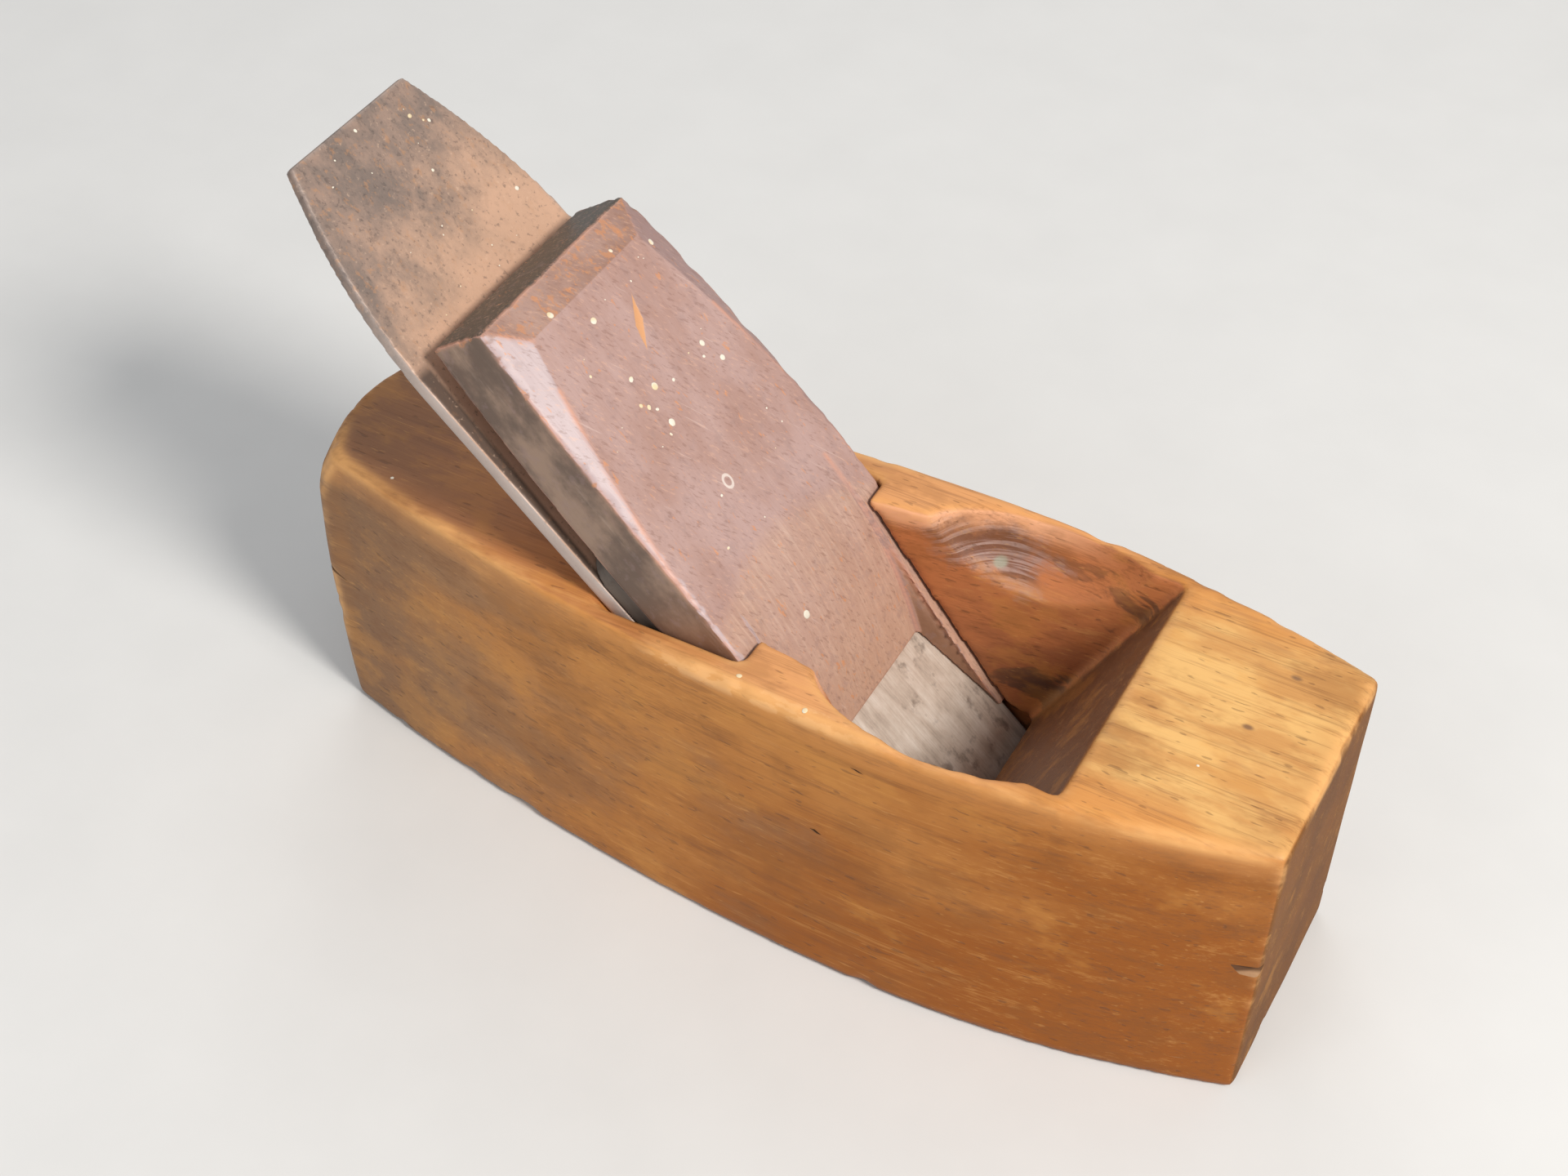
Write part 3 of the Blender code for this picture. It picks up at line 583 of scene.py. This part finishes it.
# Wedge
wedge = {
    "cell": 0.0005,
    "arrisReach": 0.0008,
    "arrisRounds": 2,
    "wearWidth": 0.0005,
    "wave": 0.00005,
    "waveScale": 110,
    "waveShift": 5.0,
    "easing": 0.00022,  # the legs are rubbed this much thinner
    "legsEnd": (0.090, 0.006),  # up the slope, and the length of the change
    "legsInner": (0.0190, 0.0040),  # across, and the width of the change
    "dings": 150,
    "dingSeed": 11,
    "dingSize": (0.0006, 0.0011),
    "dingStretch": (1.0, 2.6),
    "dingWidth": (1.0, 1.6),
    "dingDepth": (0.08, 0.30),
    # the head: from here up, its length, its end, its half width, how much that narrows, its front
    "head": {"from": 0.078, "long": 0.080, "edge": 0.1545, "half": 0.0275, "bow": 0.0036, "front": 0.012},
    "ring": {"up": 0.1036, "across": 0.0029, "radius": 0.0013},
    # the lozenge where the dark skin flaked off
    "flake": {"up": 0.1364, "across": -0.0048, "lean": 0.61, "long": 0.0044, "wide": 0.0012,
              "deep": 0.00022, "reach": 1.25, "front": 0.017},
    "tones": {
        "brown": (0.375, 0.225, 0.185), "sheenPatches": (0.460, 0.312, 0.285), "deep": (0.20, 0.095, 0.070),
        "pared": [(0.36, (0.47, 0.285, 0.205)), (0.50, (0.50, 0.305, 0.212)), (0.64, (0.60, 0.40, 0.29))],
        "warm": (0.62, 0.37, 0.23), "chamfer": (0.47, 0.385, 0.40), "farChamferShade": (0.27, 0.175, 0.165),
        "bevel": (0.26, 0.140, 0.100), "bevelSheen": (0.38, 0.235, 0.185), "bevelFleck": (0.50, 0.24, 0.11),
        "paintedShade": (0.135, 0.090, 0.066), "lighterSideShade": (0.30, 0.200, 0.142), "warmReflection": (0.26, 0.115, 0.055),
        "end": (0.060, 0.050, 0.035), "endFleck": (0.21, 0.15, 0.09), "pale": (0.75, 0.58, 0.50),
        "mottle": (0.28, 0.19, 0.18), "scuff": (0.60, 0.25, 0.10), "scrape": (0.76, 0.60, 0.53),
        "nickDark": (0.20, 0.098, 0.072), "nickLight": (0.64, 0.38, 0.27), "ring": (0.80, 0.73, 0.66),
        "flake": (0.66, 0.32, 0.13), "edging": (0.52, 0.22, 0.09), "rubbed": (0.62, 0.30, 0.20),
    },
}


def wedgeFinish():
    sheet = Sheet("darkWedgeWood")
    tones = wedge["tones"]
    (up, across, out), place = sheet.onSlope()
    matrix = slopeMatrix()
    faceOut = sheet.facing(tuple(matrix.col[2][:3]))
    facingUp = sheet.facing(tuple(matrix.col[0][:3]))
    faceSide = sheet.facing((0, 1, 0)).size()
    faceTop = sheet.rise(facingUp, 0.55, 0.70)
    endBevel = sheet.rise(facingUp, 0.14, 0.24)
    side = sheet.rise(faceSide, 0.80, 0.93)
    front = 1 - side
    chamfer = sheet.rise(faceSide, 0.12, 0.24) * front * sheet.rise(faceOut, 0.3, 0.6)

    streaks = sheet.cloud(place, (26, 420, 420), 5.0, 0.6)
    fibres = sheet.cloud(place, (110, 2600, 2600), 3.0, 0.6)
    blotch = sheet.cloud(place, (50, 75, 75), 5.0, 0.62)
    figure = streaks * 0.55 + fibres * 0.45
    # paler mauve patches on the face and the bevel are painted sheen of the old finish
    sheenPatches = sheet.rise(blotch, 0.30, 0.66)
    colour = sheet.blend(sheenPatches * 0.8, tones["brown"], tones["sheenPatches"])

    # below a curved line the face was pared by hand, and is browner, with fine curved strokes
    bow = up + across * across * 9.0 - across * 0.10
    sweep = sheet.vector(up + across * across * 16.0, across, out)
    pared = sheet.ramp(sheet.cloud(sweep, (60, 1300, 300), 3.0, 0.6), tones["pared"])
    colour = sheet.tint(colour, 0.0 - bow + blotch * 0.006, -0.0895, -0.0850, 0.50, pared)
    colour = sheet.tint(colour, 0.0 - up, -0.078, -0.052, 0.35, tones["warm"])

    # chamfers, the bevelled end, the sides and the end grain; the sides are darkened with painted shade and
    # warmed low down by a painted reflection
    # painted highlight on the near chamfer, painted shade on the far one
    farSide = sheet.rise(0.0 - across, 0.0, 0.004)
    chamferHighlightAndShade = sheet.blend(farSide, tones["chamfer"], tones["farChamferShade"])
    colour = sheet.blend(chamfer * 0.75, colour, chamferHighlightAndShade)
    flecks = sheet.rise(sheet.cloud(place, (500, 900, 900), 3.0, 0.6), 0.56, 0.66)
    bevelTone = sheet.blend(sheenPatches, tones["bevel"], tones["bevelSheen"])
    bevelTone = sheet.blend(flecks * 0.45, bevelTone, tones["bevelFleck"])
    colour = sheet.blend(endBevel * 0.9, colour, bevelTone)
    shadedSides = sheet.blend(sheet.rise(blotch, 0.42, 0.62), tones["paintedShade"], tones["lighterSideShade"])
    shadedSides = sheet.tint(shadedSides, 0.0 - up, -0.104, -0.080, 0.7, tones["warmReflection"])
    colour = sheet.blend(side, colour, shadedSides)
    colour = sheet.blend(faceTop, colour, sheet.blend(flecks * 0.5, tones["end"], tones["endFleck"]))
    mottle = sheet.cloud(place, (330, 420, 420), 4.0, 0.65)
    colour = sheet.tint(colour, figure, 0.50, 0.37, 0.16, tones["deep"])
    colour = sheet.tint(colour, figure, 0.55, 0.70, 0.12, tones["pale"])
    colour = sheet.tint(colour, mottle, 0.54, 0.66, 0.26, tones["mottle"])

    # scuffs, scrapes and nicks where the dark skin has come off
    scrapeAt = sheet.vector(up + across * 0.55, across - up * 0.55, out)
    scuffs = sheet.cloud(place, (330, 900, 900), 2.0, 0.5, 1.2)
    scrapes = sheet.cloud(scrapeAt, (60, 1500, 300), 2.0, 0.5)
    nicks = sheet.cloud(scrapeAt, (420, 1500, 900), 3.0, 0.6)
    colour = sheet.tint(colour, scuffs, 0.665, 0.715, front * 0.62, tones["scuff"])
    colour = sheet.tint(colour, scrapes, 0.68, 0.76, front * 0.22, tones["scrape"])
    colour = sheet.tint(colour, nicks, 0.57, 0.66, front * 0.38, tones["nickDark"])
    colour = sheet.tint(colour, nicks, 0.41, 0.33, front * 0.32, tones["nickLight"])
    ring = wedge["ring"]
    ringAt = sheet.length(up - ring["up"], (across - ring["across"]) * 1.25)
    rim = 1 - sheet.rise((ringAt - ring["radius"]).size() + fibres * 0.0003, 0.00036, 0.00058)
    colour = sheet.tint(colour, out, 0.015, 0.017, rim * 0.6, tones["ring"])
    flake = wedge["flake"]
    run = up - flake["up"]
    skew = across - flake["across"] + run * flake["lean"]
    bare = run.size() / flake["long"] + skew.size() / flake["wide"]
    bare = (1 - sheet.rise(bare + fibres * 0.3, 1.05, 1.35)) * sheet.rise(out, 0.017, 0.0185)
    colour = sheet.blend(bare * 0.85, colour, tones["flake"])

    # ragged orange wood shows along the head's edges
    ragged = sheet.cloud(place, (260, 420, 420), 4.0, 0.65)
    fromEdges = (sheet.rise(up, 0.1500, 0.1545) - 0.5).size()
    colour = sheet.tint(colour, ragged + fromEdges * 0.10, 0.58, 0.64, endBevel * (1 - faceTop) * 0.6,
                        tones["edging"])
    rubbed = sheet.attribute("arrisWear") * 0.75
    colour = sheet.tint(colour, blotch + fibres * 0.35, 0.54, 0.74, rubbed, tones["rubbed"])
    sheet.feed(Base_Color=colour, Roughness=0.36 + figure * 0.2 + side * 0.2, Specular_IOR_Level=0.5)
    sheet.feed(Normal=sheet.relief(figure * 0.5 + blotch * 0.3 - bare * 0.5, 0.00012, 0.6))
    return sheet.material


# the arrises of the wedge's head, which bows in towards the end, take all the knocks
def onHead(point):
    head = wedge["head"]
    bowed = head["half"] - head["bow"] * ((point.x - head["from"]) / head["long"]) ** 2
    onSide = point.z > head["front"] and point.x > head["from"] and abs(point.y) > bowed
    return point.x > head["edge"] or onSide


def makeWedge():
    piece = WornCopy("wedge", "wedgeWorn", wedge["cell"], True)
    piece.wearArrises(wedge["arrisReach"], wedge["arrisRounds"])
    waves = 0.5 + softNoise(piece.places, wedge["waveScale"], wedge["waveShift"])
    piece.sink(wedge["wave"] * waves)
    pick = random.Random(wedge["dingSeed"])
    depths = np.zeros(len(piece.places))
    rims = [point for point in piece.arrises if onHead(point)]
    small, spread = wedge["dingSize"]
    for _ in range(wedge["dings"]):
        centre = pick.choice(rims)
        size = small + spread * pick.random() ** 2
        half = (size * pick.uniform(*wedge["dingStretch"]), size * pick.uniform(*wedge["dingWidth"]), size)
        depths = np.maximum(depths, piece.hollow(centre, half, size * pick.uniform(*wedge["dingDepth"])))
    up, across, out = piece.places.T
    flake = wedge["flake"]
    run = up - flake["up"]
    skew = across - flake["across"] + run * flake["lean"]
    bare = np.abs(run) / flake["long"] + np.abs(skew) / flake["wide"]
    sunk = flake["deep"] * np.clip(flake["reach"] - bare, 0.0, 1.0)
    depths += np.where(out > flake["front"], sunk, 0.0)
    end, endRun = wedge["legsEnd"]
    inner, innerRun = wedge["legsInner"]
    legs = np.clip((end - up) / endRun, 0.0, 1.0) * np.clip((np.abs(across) - inner) / innerRun, 0.0, 1.0)
    depths += legs * wedge["easing"]
    piece.sink(depths)
    piece.finish(wedgeFinish(), "wedge_body", "wedge", "dark_wood", wedge["wearWidth"])


makeWedge()
print("wedge shaped")


# Cutting iron and cap iron
iron = {
    "cell": 0.0005,
    "arrisReach": 0.0009,
    "arrisRounds": {"cutting_iron": 3, "cap_iron": 2},
    "wearWidth": {"cutting_iron": 0.0005, "cap_iron": 0.0007},
    "tones": {
        "grey": (0.205, 0.158, 0.134), "pink": (0.350, 0.240, 0.186), "rust": (0.67, 0.410, 0.272),
        "dark": (0.105, 0.080, 0.070), "paintedShade": (0.070, 0.048, 0.038), "dust": (0.70, 0.48, 0.34),
        "pitRust": (0.50, 0.250, 0.115), "pitDark": (0.085, 0.065, 0.058), "bright": (0.58, 0.52, 0.49),
        "sideDark": (0.30, 0.25, 0.225), "sideBright": (0.60, 0.54, 0.51),
    },
    "capTones": {
        "steel": [(0.34, (0.46, 0.385, 0.320)), (0.48, (0.68, 0.585, 0.49)), (0.64, (0.86, 0.78, 0.69))],
        "patch": (0.17, 0.125, 0.10), "shadedUnderWedge": (0.060, 0.044, 0.034),
    },
}

# Boss and screw
fixing = {
    "cell": 0.00022,
    "arrisReach": 0.0005,
    "arrisRounds": 2,
    "wearWidth": 0.0004,
    "brass": ((0.50, 0.35, 0.14), (0.24, 0.155, 0.07), 0.8),  # light, dark, how metallic
    "screw": ((0.34, 0.29, 0.25), (0.15, 0.105, 0.08), 0.7),
    "rubbed": 1.5,  # arrises are this much lighter
}


def rustFinish():
    sheet = Sheet("rustPatina")
    tones = iron["tones"]
    (up, across, out), place = sheet.onSlope()
    patches = sheet.cloud(place, (70, 95, 95), 7.0, 0.68)
    speckle = sheet.cloud(place, (900, 900, 900), 3.0, 0.6)
    lower = sheet.rise(0.0 - up + across * -0.35 + patches * 0.04, -0.168, -0.138)
    colour = sheet.blend(sheet.rise(patches, 0.38, 0.66), tones["grey"], tones["pink"])
    colour = sheet.blend(lower * 0.80, colour, tones["rust"])
    stain = sheet.cloud(place, (210, 280, 280), 6.0, 0.72, 0.5)
    colour = sheet.tint(colour, stain, 0.54, 0.70, 0.55 - lower * 0.42, tones["dark"])
    # painted shadow of the wedge darkens the iron's face in the corner beside it
    beside = sheet.rise(across.size() + up * 0.043, 0.0300, 0.0312) * (1 - sheet.rise(up, 0.1545, 0.1575))
    beside = beside * (1 - sheet.rise(across.size(), 0.0270, 0.0276) * 0.7)
    colour = sheet.tint(colour, out, -0.0006, -0.0002, beside * 0.9, tones["paintedShade"])
    colour = sheet.tint(colour, speckle, 0.60, 0.72, 0.35, tones["dust"])
    pitting = sheet.cloud(place, (380, 520, 520), 4.0, 0.65)
    colour = sheet.tint(colour, pitting, 0.56, 0.64, 0.42 - lower * 0.30, tones["pitRust"])
    colour = sheet.tint(colour, pitting, 0.42, 0.34, 0.40 - lower * 0.28, tones["pitDark"])
    colour = sheet.tint(colour, speckle, 0.42, 0.32, 0.45, tones["dark"])
    head = sheet.rise(up, 0.150, 0.185)
    rubbed = sheet.attribute("arrisWear") * (1 - head * 0.6)
    rubbed = rubbed * sheet.rise(patches + speckle * 0.3, 0.50, 0.74)
    colour = sheet.blend(rubbed * 0.75, colour, tones["bright"])
    sides = sheet.rise(sheet.facing((0, 1, 0)).size(), 0.6, 0.8) * (1 - head)
    colour = sheet.blend(sides * 0.8, colour, sheet.blend(patches, tones["sideDark"], tones["sideBright"]))
    sheet.feed(Base_Color=colour, Roughness=0.42 + speckle * 0.25, Metallic=0.25 + rubbed * 0.5)
    sheet.feed(Normal=sheet.relief(patches * 0.5 + speckle * 0.22, 0.00022, 0.55))
    return sheet.material


def capFinish():
    sheet = Sheet("streakedSteel")
    tones = iron["capTones"]
    (up, across, _), place = sheet.onSlope()
    streaks = sheet.cloud(place, (45, 420, 420), 5.0, 0.62)
    hairs = sheet.cloud(place, (140, 2600, 2600), 3.0, 0.6)
    mottle = sheet.cloud(place, (170, 240, 240), 5.0, 0.62)
    patches = sheet.cloud(place, (110, 140, 140), 5.0, 0.65)
    colour = sheet.ramp(streaks * 0.30 + hairs * 0.25 + mottle * 0.45, tones["steel"])
    colour = sheet.tint(colour, patches, 0.54, 0.66, 0.6, tones["patch"])
    # the part behind the wedge is black with painted shade
    shadedUnderWedge = sheet.rise(up, 0.056, 0.075).larger(sheet.rise(across.size(), 0.0268, 0.0273))
    colour = sheet.blend(shadedUnderWedge * 0.9, colour, tones["shadedUnderWedge"])
    sheet.feed(Base_Color=colour, Roughness=0.34 + streaks * 0.22 + shadedUnderWedge * 0.25,
               Metallic=0.45 - shadedUnderWedge * 0.4)
    sheet.feed(Normal=sheet.relief(streaks * 0.4 + hairs * 0.3 + patches * 0.3, 0.00016, 0.45))
    return sheet.material


def dullMetal(name, light, dark, metallic):
    sheet = Sheet(name)
    tarnish = sheet.cloud(sheet.place, (450, 450, 450), 5.0, 0.65)
    turned = sheet.cloud(sheet.place, (2600, 2600, 2600), 2.0)
    colour = sheet.blend(sheet.rise(tarnish, 0.36, 0.64), light, dark)
    lighter = tuple(min(c * fixing["rubbed"], 1.0) for c in light)
    colour = sheet.blend(sheet.attribute("arrisWear") * 0.5, colour, lighter)
    sheet.feed(Base_Color=colour, Roughness=0.36 + tarnish * 0.25, Metallic=metallic)
    sheet.feed(Normal=sheet.relief(tarnish * 0.6 + turned * 0.2, 0.0001, 0.4))
    return sheet.material


def makeIron(node, name, body, slot, finish):
    piece = WornCopy(node, name, iron["cell"], True)
    piece.wearArrises(iron["arrisReach"], iron["arrisRounds"][node])
    piece.finish(finish, body, node, slot, iron["wearWidth"][node])


def makeFixing(node, name, body, slot, finish):
    piece = WornCopy(node, name, fixing["cell"], True)
    piece.wearArrises(fixing["arrisReach"], fixing["arrisRounds"])
    piece.finish(finish, body, node, slot, fixing["wearWidth"])


makeIron("cutting_iron", "cuttingIronWorn", "iron_body", "rusty_steel", rustFinish())
makeIron("cap_iron", "capIronWorn", "cap_body", "grey_steel", capFinish())
makeFixing("cap_iron_boss", "capBossWorn", "cap_body", "dull_brass",
           dullMetal("tarnishedBrass", *fixing["brass"]))
makeFixing("cap_screw", "capScrewWorn", "screw_body", "screw_steel",
           dullMetal("brownedScrew", *fixing["screw"]))
print("irons shaped")


# Paint specks: spattered drops of old paint, each a small flattened blob lying on the surface
paint = {
    "thickness": 0.00013,
    "uneven": 0.00016,
    "seed": 5,
    "pale": (0.74, 0.69, 0.58),
    "yellowed": (0.72, 0.58, 0.36),
    # up the slope, across, radius, all in millimetres
    "wedge": [
        (149.0, -10.9, 0.75), (142.7, -3.9, 0.70), (149.5, 10.9, 0.45), (145.3, 20.4, 0.70),
        (125.0, 14.0, 0.70), (120.2, 15.9, 0.65), (123.0, 12.2, 0.35), (130.2, -5.8, 0.65),
        (126.1, -2.3, 0.80), (125.5, -8.0, 0.45), (124.2, -6.7, 0.55), (122.8, -5.4, 0.45),
        (119.1, -4.6, 0.85), (117.7, -6.6, 0.40), (124.3, 2.4, 0.40), (74.3, -6.9, 0.95),
        (95.2, -13.3, 0.40), (102.7, -6.4, 0.35), (136.0, -13.0, 0.35),
    ],
    "iron": [(196.1, -0.1, 0.40), (191.8, 12.5, 0.45), (188.9, 15.5, 0.42), (189.6, 14.4, 0.25),
             (181.5, 8.0, 0.35), (168.5, 21.3, 0.50)],
    # along the stock, across, radius, on its top
    "stock": [(-1.0, -32.3, 0.60), (13.4, -34.0, 0.55), (-86.4, -18.6, 0.40), (-62.0, 12.0, 0.40),
              (80.0, -12.0, 0.30)],
    "steepest": 0.4,  # a speck needs a face turned at least this much towards the drop
    "fallOnSlope": 0.04,
    "fallOnTop": 0.09,
    "strays": 14,
    "straySize": (0.12, 0.24),
    # lowest, highest, half the width that strays fall on
    "wedgeStrays": (92, 146, 20),
    "ironStrays": (160, 196, 14),
}


def speckTree(material):
    tree = bpy.data.node_groups.new("paintSpecks", "GeometryNodeTree")
    face = tree.interface
    face.new_socket("Places", in_out="INPUT", socket_type="NodeSocketGeometry")
    inputs = {}
    for name, kind in (("Thickness", "Float"), ("Unevenness", "Float"), ("Seed", "Int")):
        socket = face.new_socket(name, in_out="INPUT", socket_type="NodeSocket" + kind)
        inputs[name] = socket.identifier
    face.new_socket("Specks", in_out="OUTPUT", socket_type="NodeSocketGeometry")

    def node(kind, settings=None, values=None):
        made = tree.nodes.new(kind)
        for key, value in (settings or {}).items():
            setattr(made, key, value)
        for key, value in (values or {}).items():
            if isinstance(value, bpy.types.NodeSocket):
                tree.links.new(value, made.inputs[key])
            else:
                made.inputs[key].default_value = value
        return made

    def vectorMath(operation, values):
        return node("ShaderNodeVectorMath", {"operation": operation}, values).outputs[0]

    given = node("NodeGroupInput").outputs
    named = "GeometryNodeInputNamedAttribute"
    lean = node(named, {"data_type": "FLOAT_VECTOR"}, {"Name": "lean"}).outputs[0]
    wide = node(named, {"data_type": "FLOAT"}, {"Name": "wide"}).outputs[0]
    laid = node("FunctionNodeAlignRotationToVector", {"axis": "Z"}, {"Vector": lean}).outputs[0]
    spin = node("FunctionNodeRandomValue", {"data_type": "FLOAT"}, {
        "Min": 0.0, "Max": math.tau, "Seed": given["Seed"]}).outputs["Value"]
    oval = node("FunctionNodeRandomValue", {"data_type": "FLOAT"}, {
        "Min": 0.65, "Max": 1.1, "ID": 7, "Seed": given["Seed"]}).outputs["Value"]
    spun = node("ShaderNodeCombineXYZ", None, {"Z": spin}).outputs[0]
    spun = node("FunctionNodeEulerToRotation", None, {0: spun}).outputs[0]
    turned = node("FunctionNodeRotateRotation", {"rotation_space": "LOCAL"}, {0: laid, 1: spun}).outputs[0]
    narrow = node("ShaderNodeMath", {"operation": "MULTIPLY"}, {0: wide, 1: oval}).outputs[0]
    scale = node("ShaderNodeCombineXYZ", None, {"X": wide, "Y": narrow, "Z": given["Thickness"]}).outputs[0]
    drop = node("GeometryNodeMeshIcoSphere", None, {"Radius": 1.0, "Subdivisions": 2}).outputs[0]
    drops = node("GeometryNodeInstanceOnPoints", None, {
        "Points": given["Places"], "Instance": drop, "Rotation": turned, "Scale": scale}).outputs[0]
    real = node("GeometryNodeRealizeInstances", None, {0: drops}).outputs[0]
    where = node("GeometryNodeInputPosition").outputs[0]
    lumps = node("ShaderNodeTexNoise", None, {
        "Vector": where, "Scale": 1500.0, "Detail": 1.0}).outputs["Color"]
    centred = vectorMath("SUBTRACT", {0: lumps, 1: (0.5, 0.5, 0.5)})
    shove = vectorMath("SCALE", {0: centred, "Scale": given["Unevenness"]})
    uneven = node("GeometryNodeSetPosition", None, {"Geometry": real, "Offset": shove}).outputs[0]
    smooth = node("GeometryNodeSetShadeSmooth", None, {0: uneven}).outputs[0]
    dressed = node("GeometryNodeSetMaterial", None, {"Geometry": smooth, "Material": material}).outputs[0]
    node("NodeGroupOutput", None, {0: dressed})
    return tree, inputs


def paintFinish():
    sheet = Sheet("oldPaint")
    tone = sheet.cloud(sheet.place, (300, 300, 300), 2.0)
    colour = sheet.blend(sheet.rise(tone, 0.45, 0.60), paint["pale"], paint["yellowed"])
    sheet.feed(Base_Color=colour, Roughness=0.45 + tone * 0.2)
    sheet.feed(Normal=sheet.relief(tone, 0.0001, 0.4))
    return sheet.material


# spots are points above the surface; each drops along -away onto the piece
def spatter(piece, name, spots, away, tree, inputs, body):
    surface = piece.data
    finder = BVHTree.FromPolygons([v.co for v in surface.vertices], [p.vertices for p in surface.polygons])
    found = []
    for start, radius in spots:
        place, normal, _, _ = finder.ray_cast(start, -away)
        if place is not None and normal.dot(away) > paint["steepest"]:
            found.append((place, normal, radius))
    mesh = bpy.data.meshes.new(name)
    mesh.from_pydata([place for place, _, _ in found], [], [])
    lean = mesh.attributes.new("lean", "FLOAT_VECTOR", "POINT")
    lean.data.foreach_set("vector", [c for _, normal, _ in found for c in normal])
    wide = mesh.attributes.new("wide", "FLOAT", "POINT")
    wide.data.foreach_set("value", [radius for _, _, radius in found])
    specks = placed(name, mesh)
    nodes = specks.modifiers.new("specks", "NODES")
    nodes.node_group = tree
    nodes[inputs["Thickness"]] = paint["thickness"]
    nodes[inputs["Unevenness"]] = paint["uneven"]
    nodes[inputs["Seed"]] = paint["seed"]
    specks.data = evaluatedMesh(specks)
    specks.modifiers.clear()
    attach(specks, body)
    print(name, len(found), "specks")


def makeSpecks():
    tree, inputs = speckTree(paintFinish())
    matrix = slopeMatrix()
    out = Vector(matrix.col[2][:3])
    pick = random.Random(paint["seed"])

    def onSlope(spots, lowUp, highUp, halfAcross):
        strays = [(pick.uniform(lowUp, highUp), pick.uniform(-halfAcross, halfAcross),
                   pick.uniform(*paint["straySize"])) for _ in range(paint["strays"])]
        return [(matrix @ Vector((up * 0.001, -across * 0.001, paint["fallOnSlope"])), size * 0.001)
                for up, across, size in spots + strays]

    onWedge = onSlope(paint["wedge"], *paint["wedgeStrays"])
    onIron = onSlope(paint["iron"], *paint["ironStrays"])
    onTop = [(Vector((x * 0.001, y * 0.001, paint["fallOnTop"])), size * 0.001)
             for x, y, size in paint["stock"]]
    for piece, name, spots, away, body in (
            ("wedgeWorn", "paintOnWedge", onWedge, out, "wedge_body"),
            ("cuttingIronWorn", "paintOnIron", onIron, out, "iron_body"),
            ("stockWorn", "paintOnStock", onTop, Vector((0, 0, 1)), "stock_body")):
        spatter(bpy.data.objects[piece], name, spots, away, tree, inputs, body)


makeSpecks()


# Floor, lights and camera
studio = {
    "floor": (0.68, 0.68, 0.67),
    "floorShade": 0.97,  # the darker patches, against the rest
    "floorHalf": 3.0,
    "floorDrop": 0.0001,  # kept clear of the sole
    "world": (0.90, 0.92, 0.95),
    "worldStrength": 0.46,
    "lampsAimAt": (0, 0, 0.04),
    "lights": [
        # name, place, size, power, colour
        ("keyFromToe", (0.95, -0.34, 1.10), 0.42, 20.5, (1.0, 0.955, 0.90)),
        ("fillFromFront", (-0.35, -1.2, 0.8), 1.0, 4.0, (0.95, 0.97, 1.0)),
        ("rimFromBehind", (-0.5, 0.9, 0.9), 0.8, 3.0, (1.0, 0.98, 0.95)),
    ],
}

camera = {
    "place": (0.1492515, -0.3082073, 0.3929746),
    "right": (0.8804433, 0.4737243, 0.0201210),
    "down": (0.3420949, -0.6052742, -0.7187588),
    "forward": (-0.3283148, 0.6397097, -0.6949683),
    "lens": 57.2716,
    "sensor": 36.0,
    "clip": (0.01, 20.0),
}


def makeFloor():
    mesh = bpy.data.meshes.new("paleFloor")
    half, under = studio["floorHalf"], -studio["floorDrop"]
    corners = [(-half, -half, under), (half, -half, under), (half, half, under), (-half, half, under)]
    mesh.from_pydata(corners, [], [(0, 1, 2, 3)])
    floor = placed("paleFloor", mesh)
    sheet = Sheet("floorPaper")
    mottle = sheet.cloud(sheet.place, (40, 40, 40), 4.0)
    darker = tuple(c * studio["floorShade"] for c in studio["floor"])
    tone = sheet.ramp(mottle, [(0.3, studio["floor"]), (0.7, darker)])
    sheet.feed(Base_Color=tone, Roughness=0.8)
    mesh.materials.append(sheet.material)


def makeLights():
    for name, place, size, power, colour in studio["lights"]:
        light = bpy.data.lights.new(name, "AREA")
        light.shape = "DISK"
        light.size = size
        light.energy = power
        light.color = colour
        lamp = placed(name, light)
        lamp.location = place
        aim = Vector(place) - Vector(studio["lampsAimAt"])
        lamp.rotation_euler = aim.to_track_quat("Z", "Y").to_euler()
    world = bpy.data.worlds.new("studioAir")
    world.use_nodes = True
    background = world.node_tree.nodes["Background"]
    background.inputs["Color"].default_value = (*studio["world"], 1.0)
    background.inputs["Strength"].default_value = studio["worldStrength"]
    bpy.context.scene.world = world


def makeCamera():
    lens = bpy.data.cameras.new("camera")
    lens.lens = camera["lens"]
    lens.sensor_width = camera["sensor"]
    lens.clip_start, lens.clip_end = camera["clip"]
    viewer = placed("camera", lens)
    right, down, forward = (Vector(camera[k]) for k in ("right", "down", "forward"))
    turn = Matrix((right, -down, -forward)).transposed().to_4x4()
    viewer.matrix_world = Matrix.Translation(Vector(camera["place"])) @ turn
    bpy.context.scene.camera = viewer


makeFloor()
makeLights()
makeCamera()
bpy.context.scene.view_settings.view_transform = "Standard"
print("studio ready")
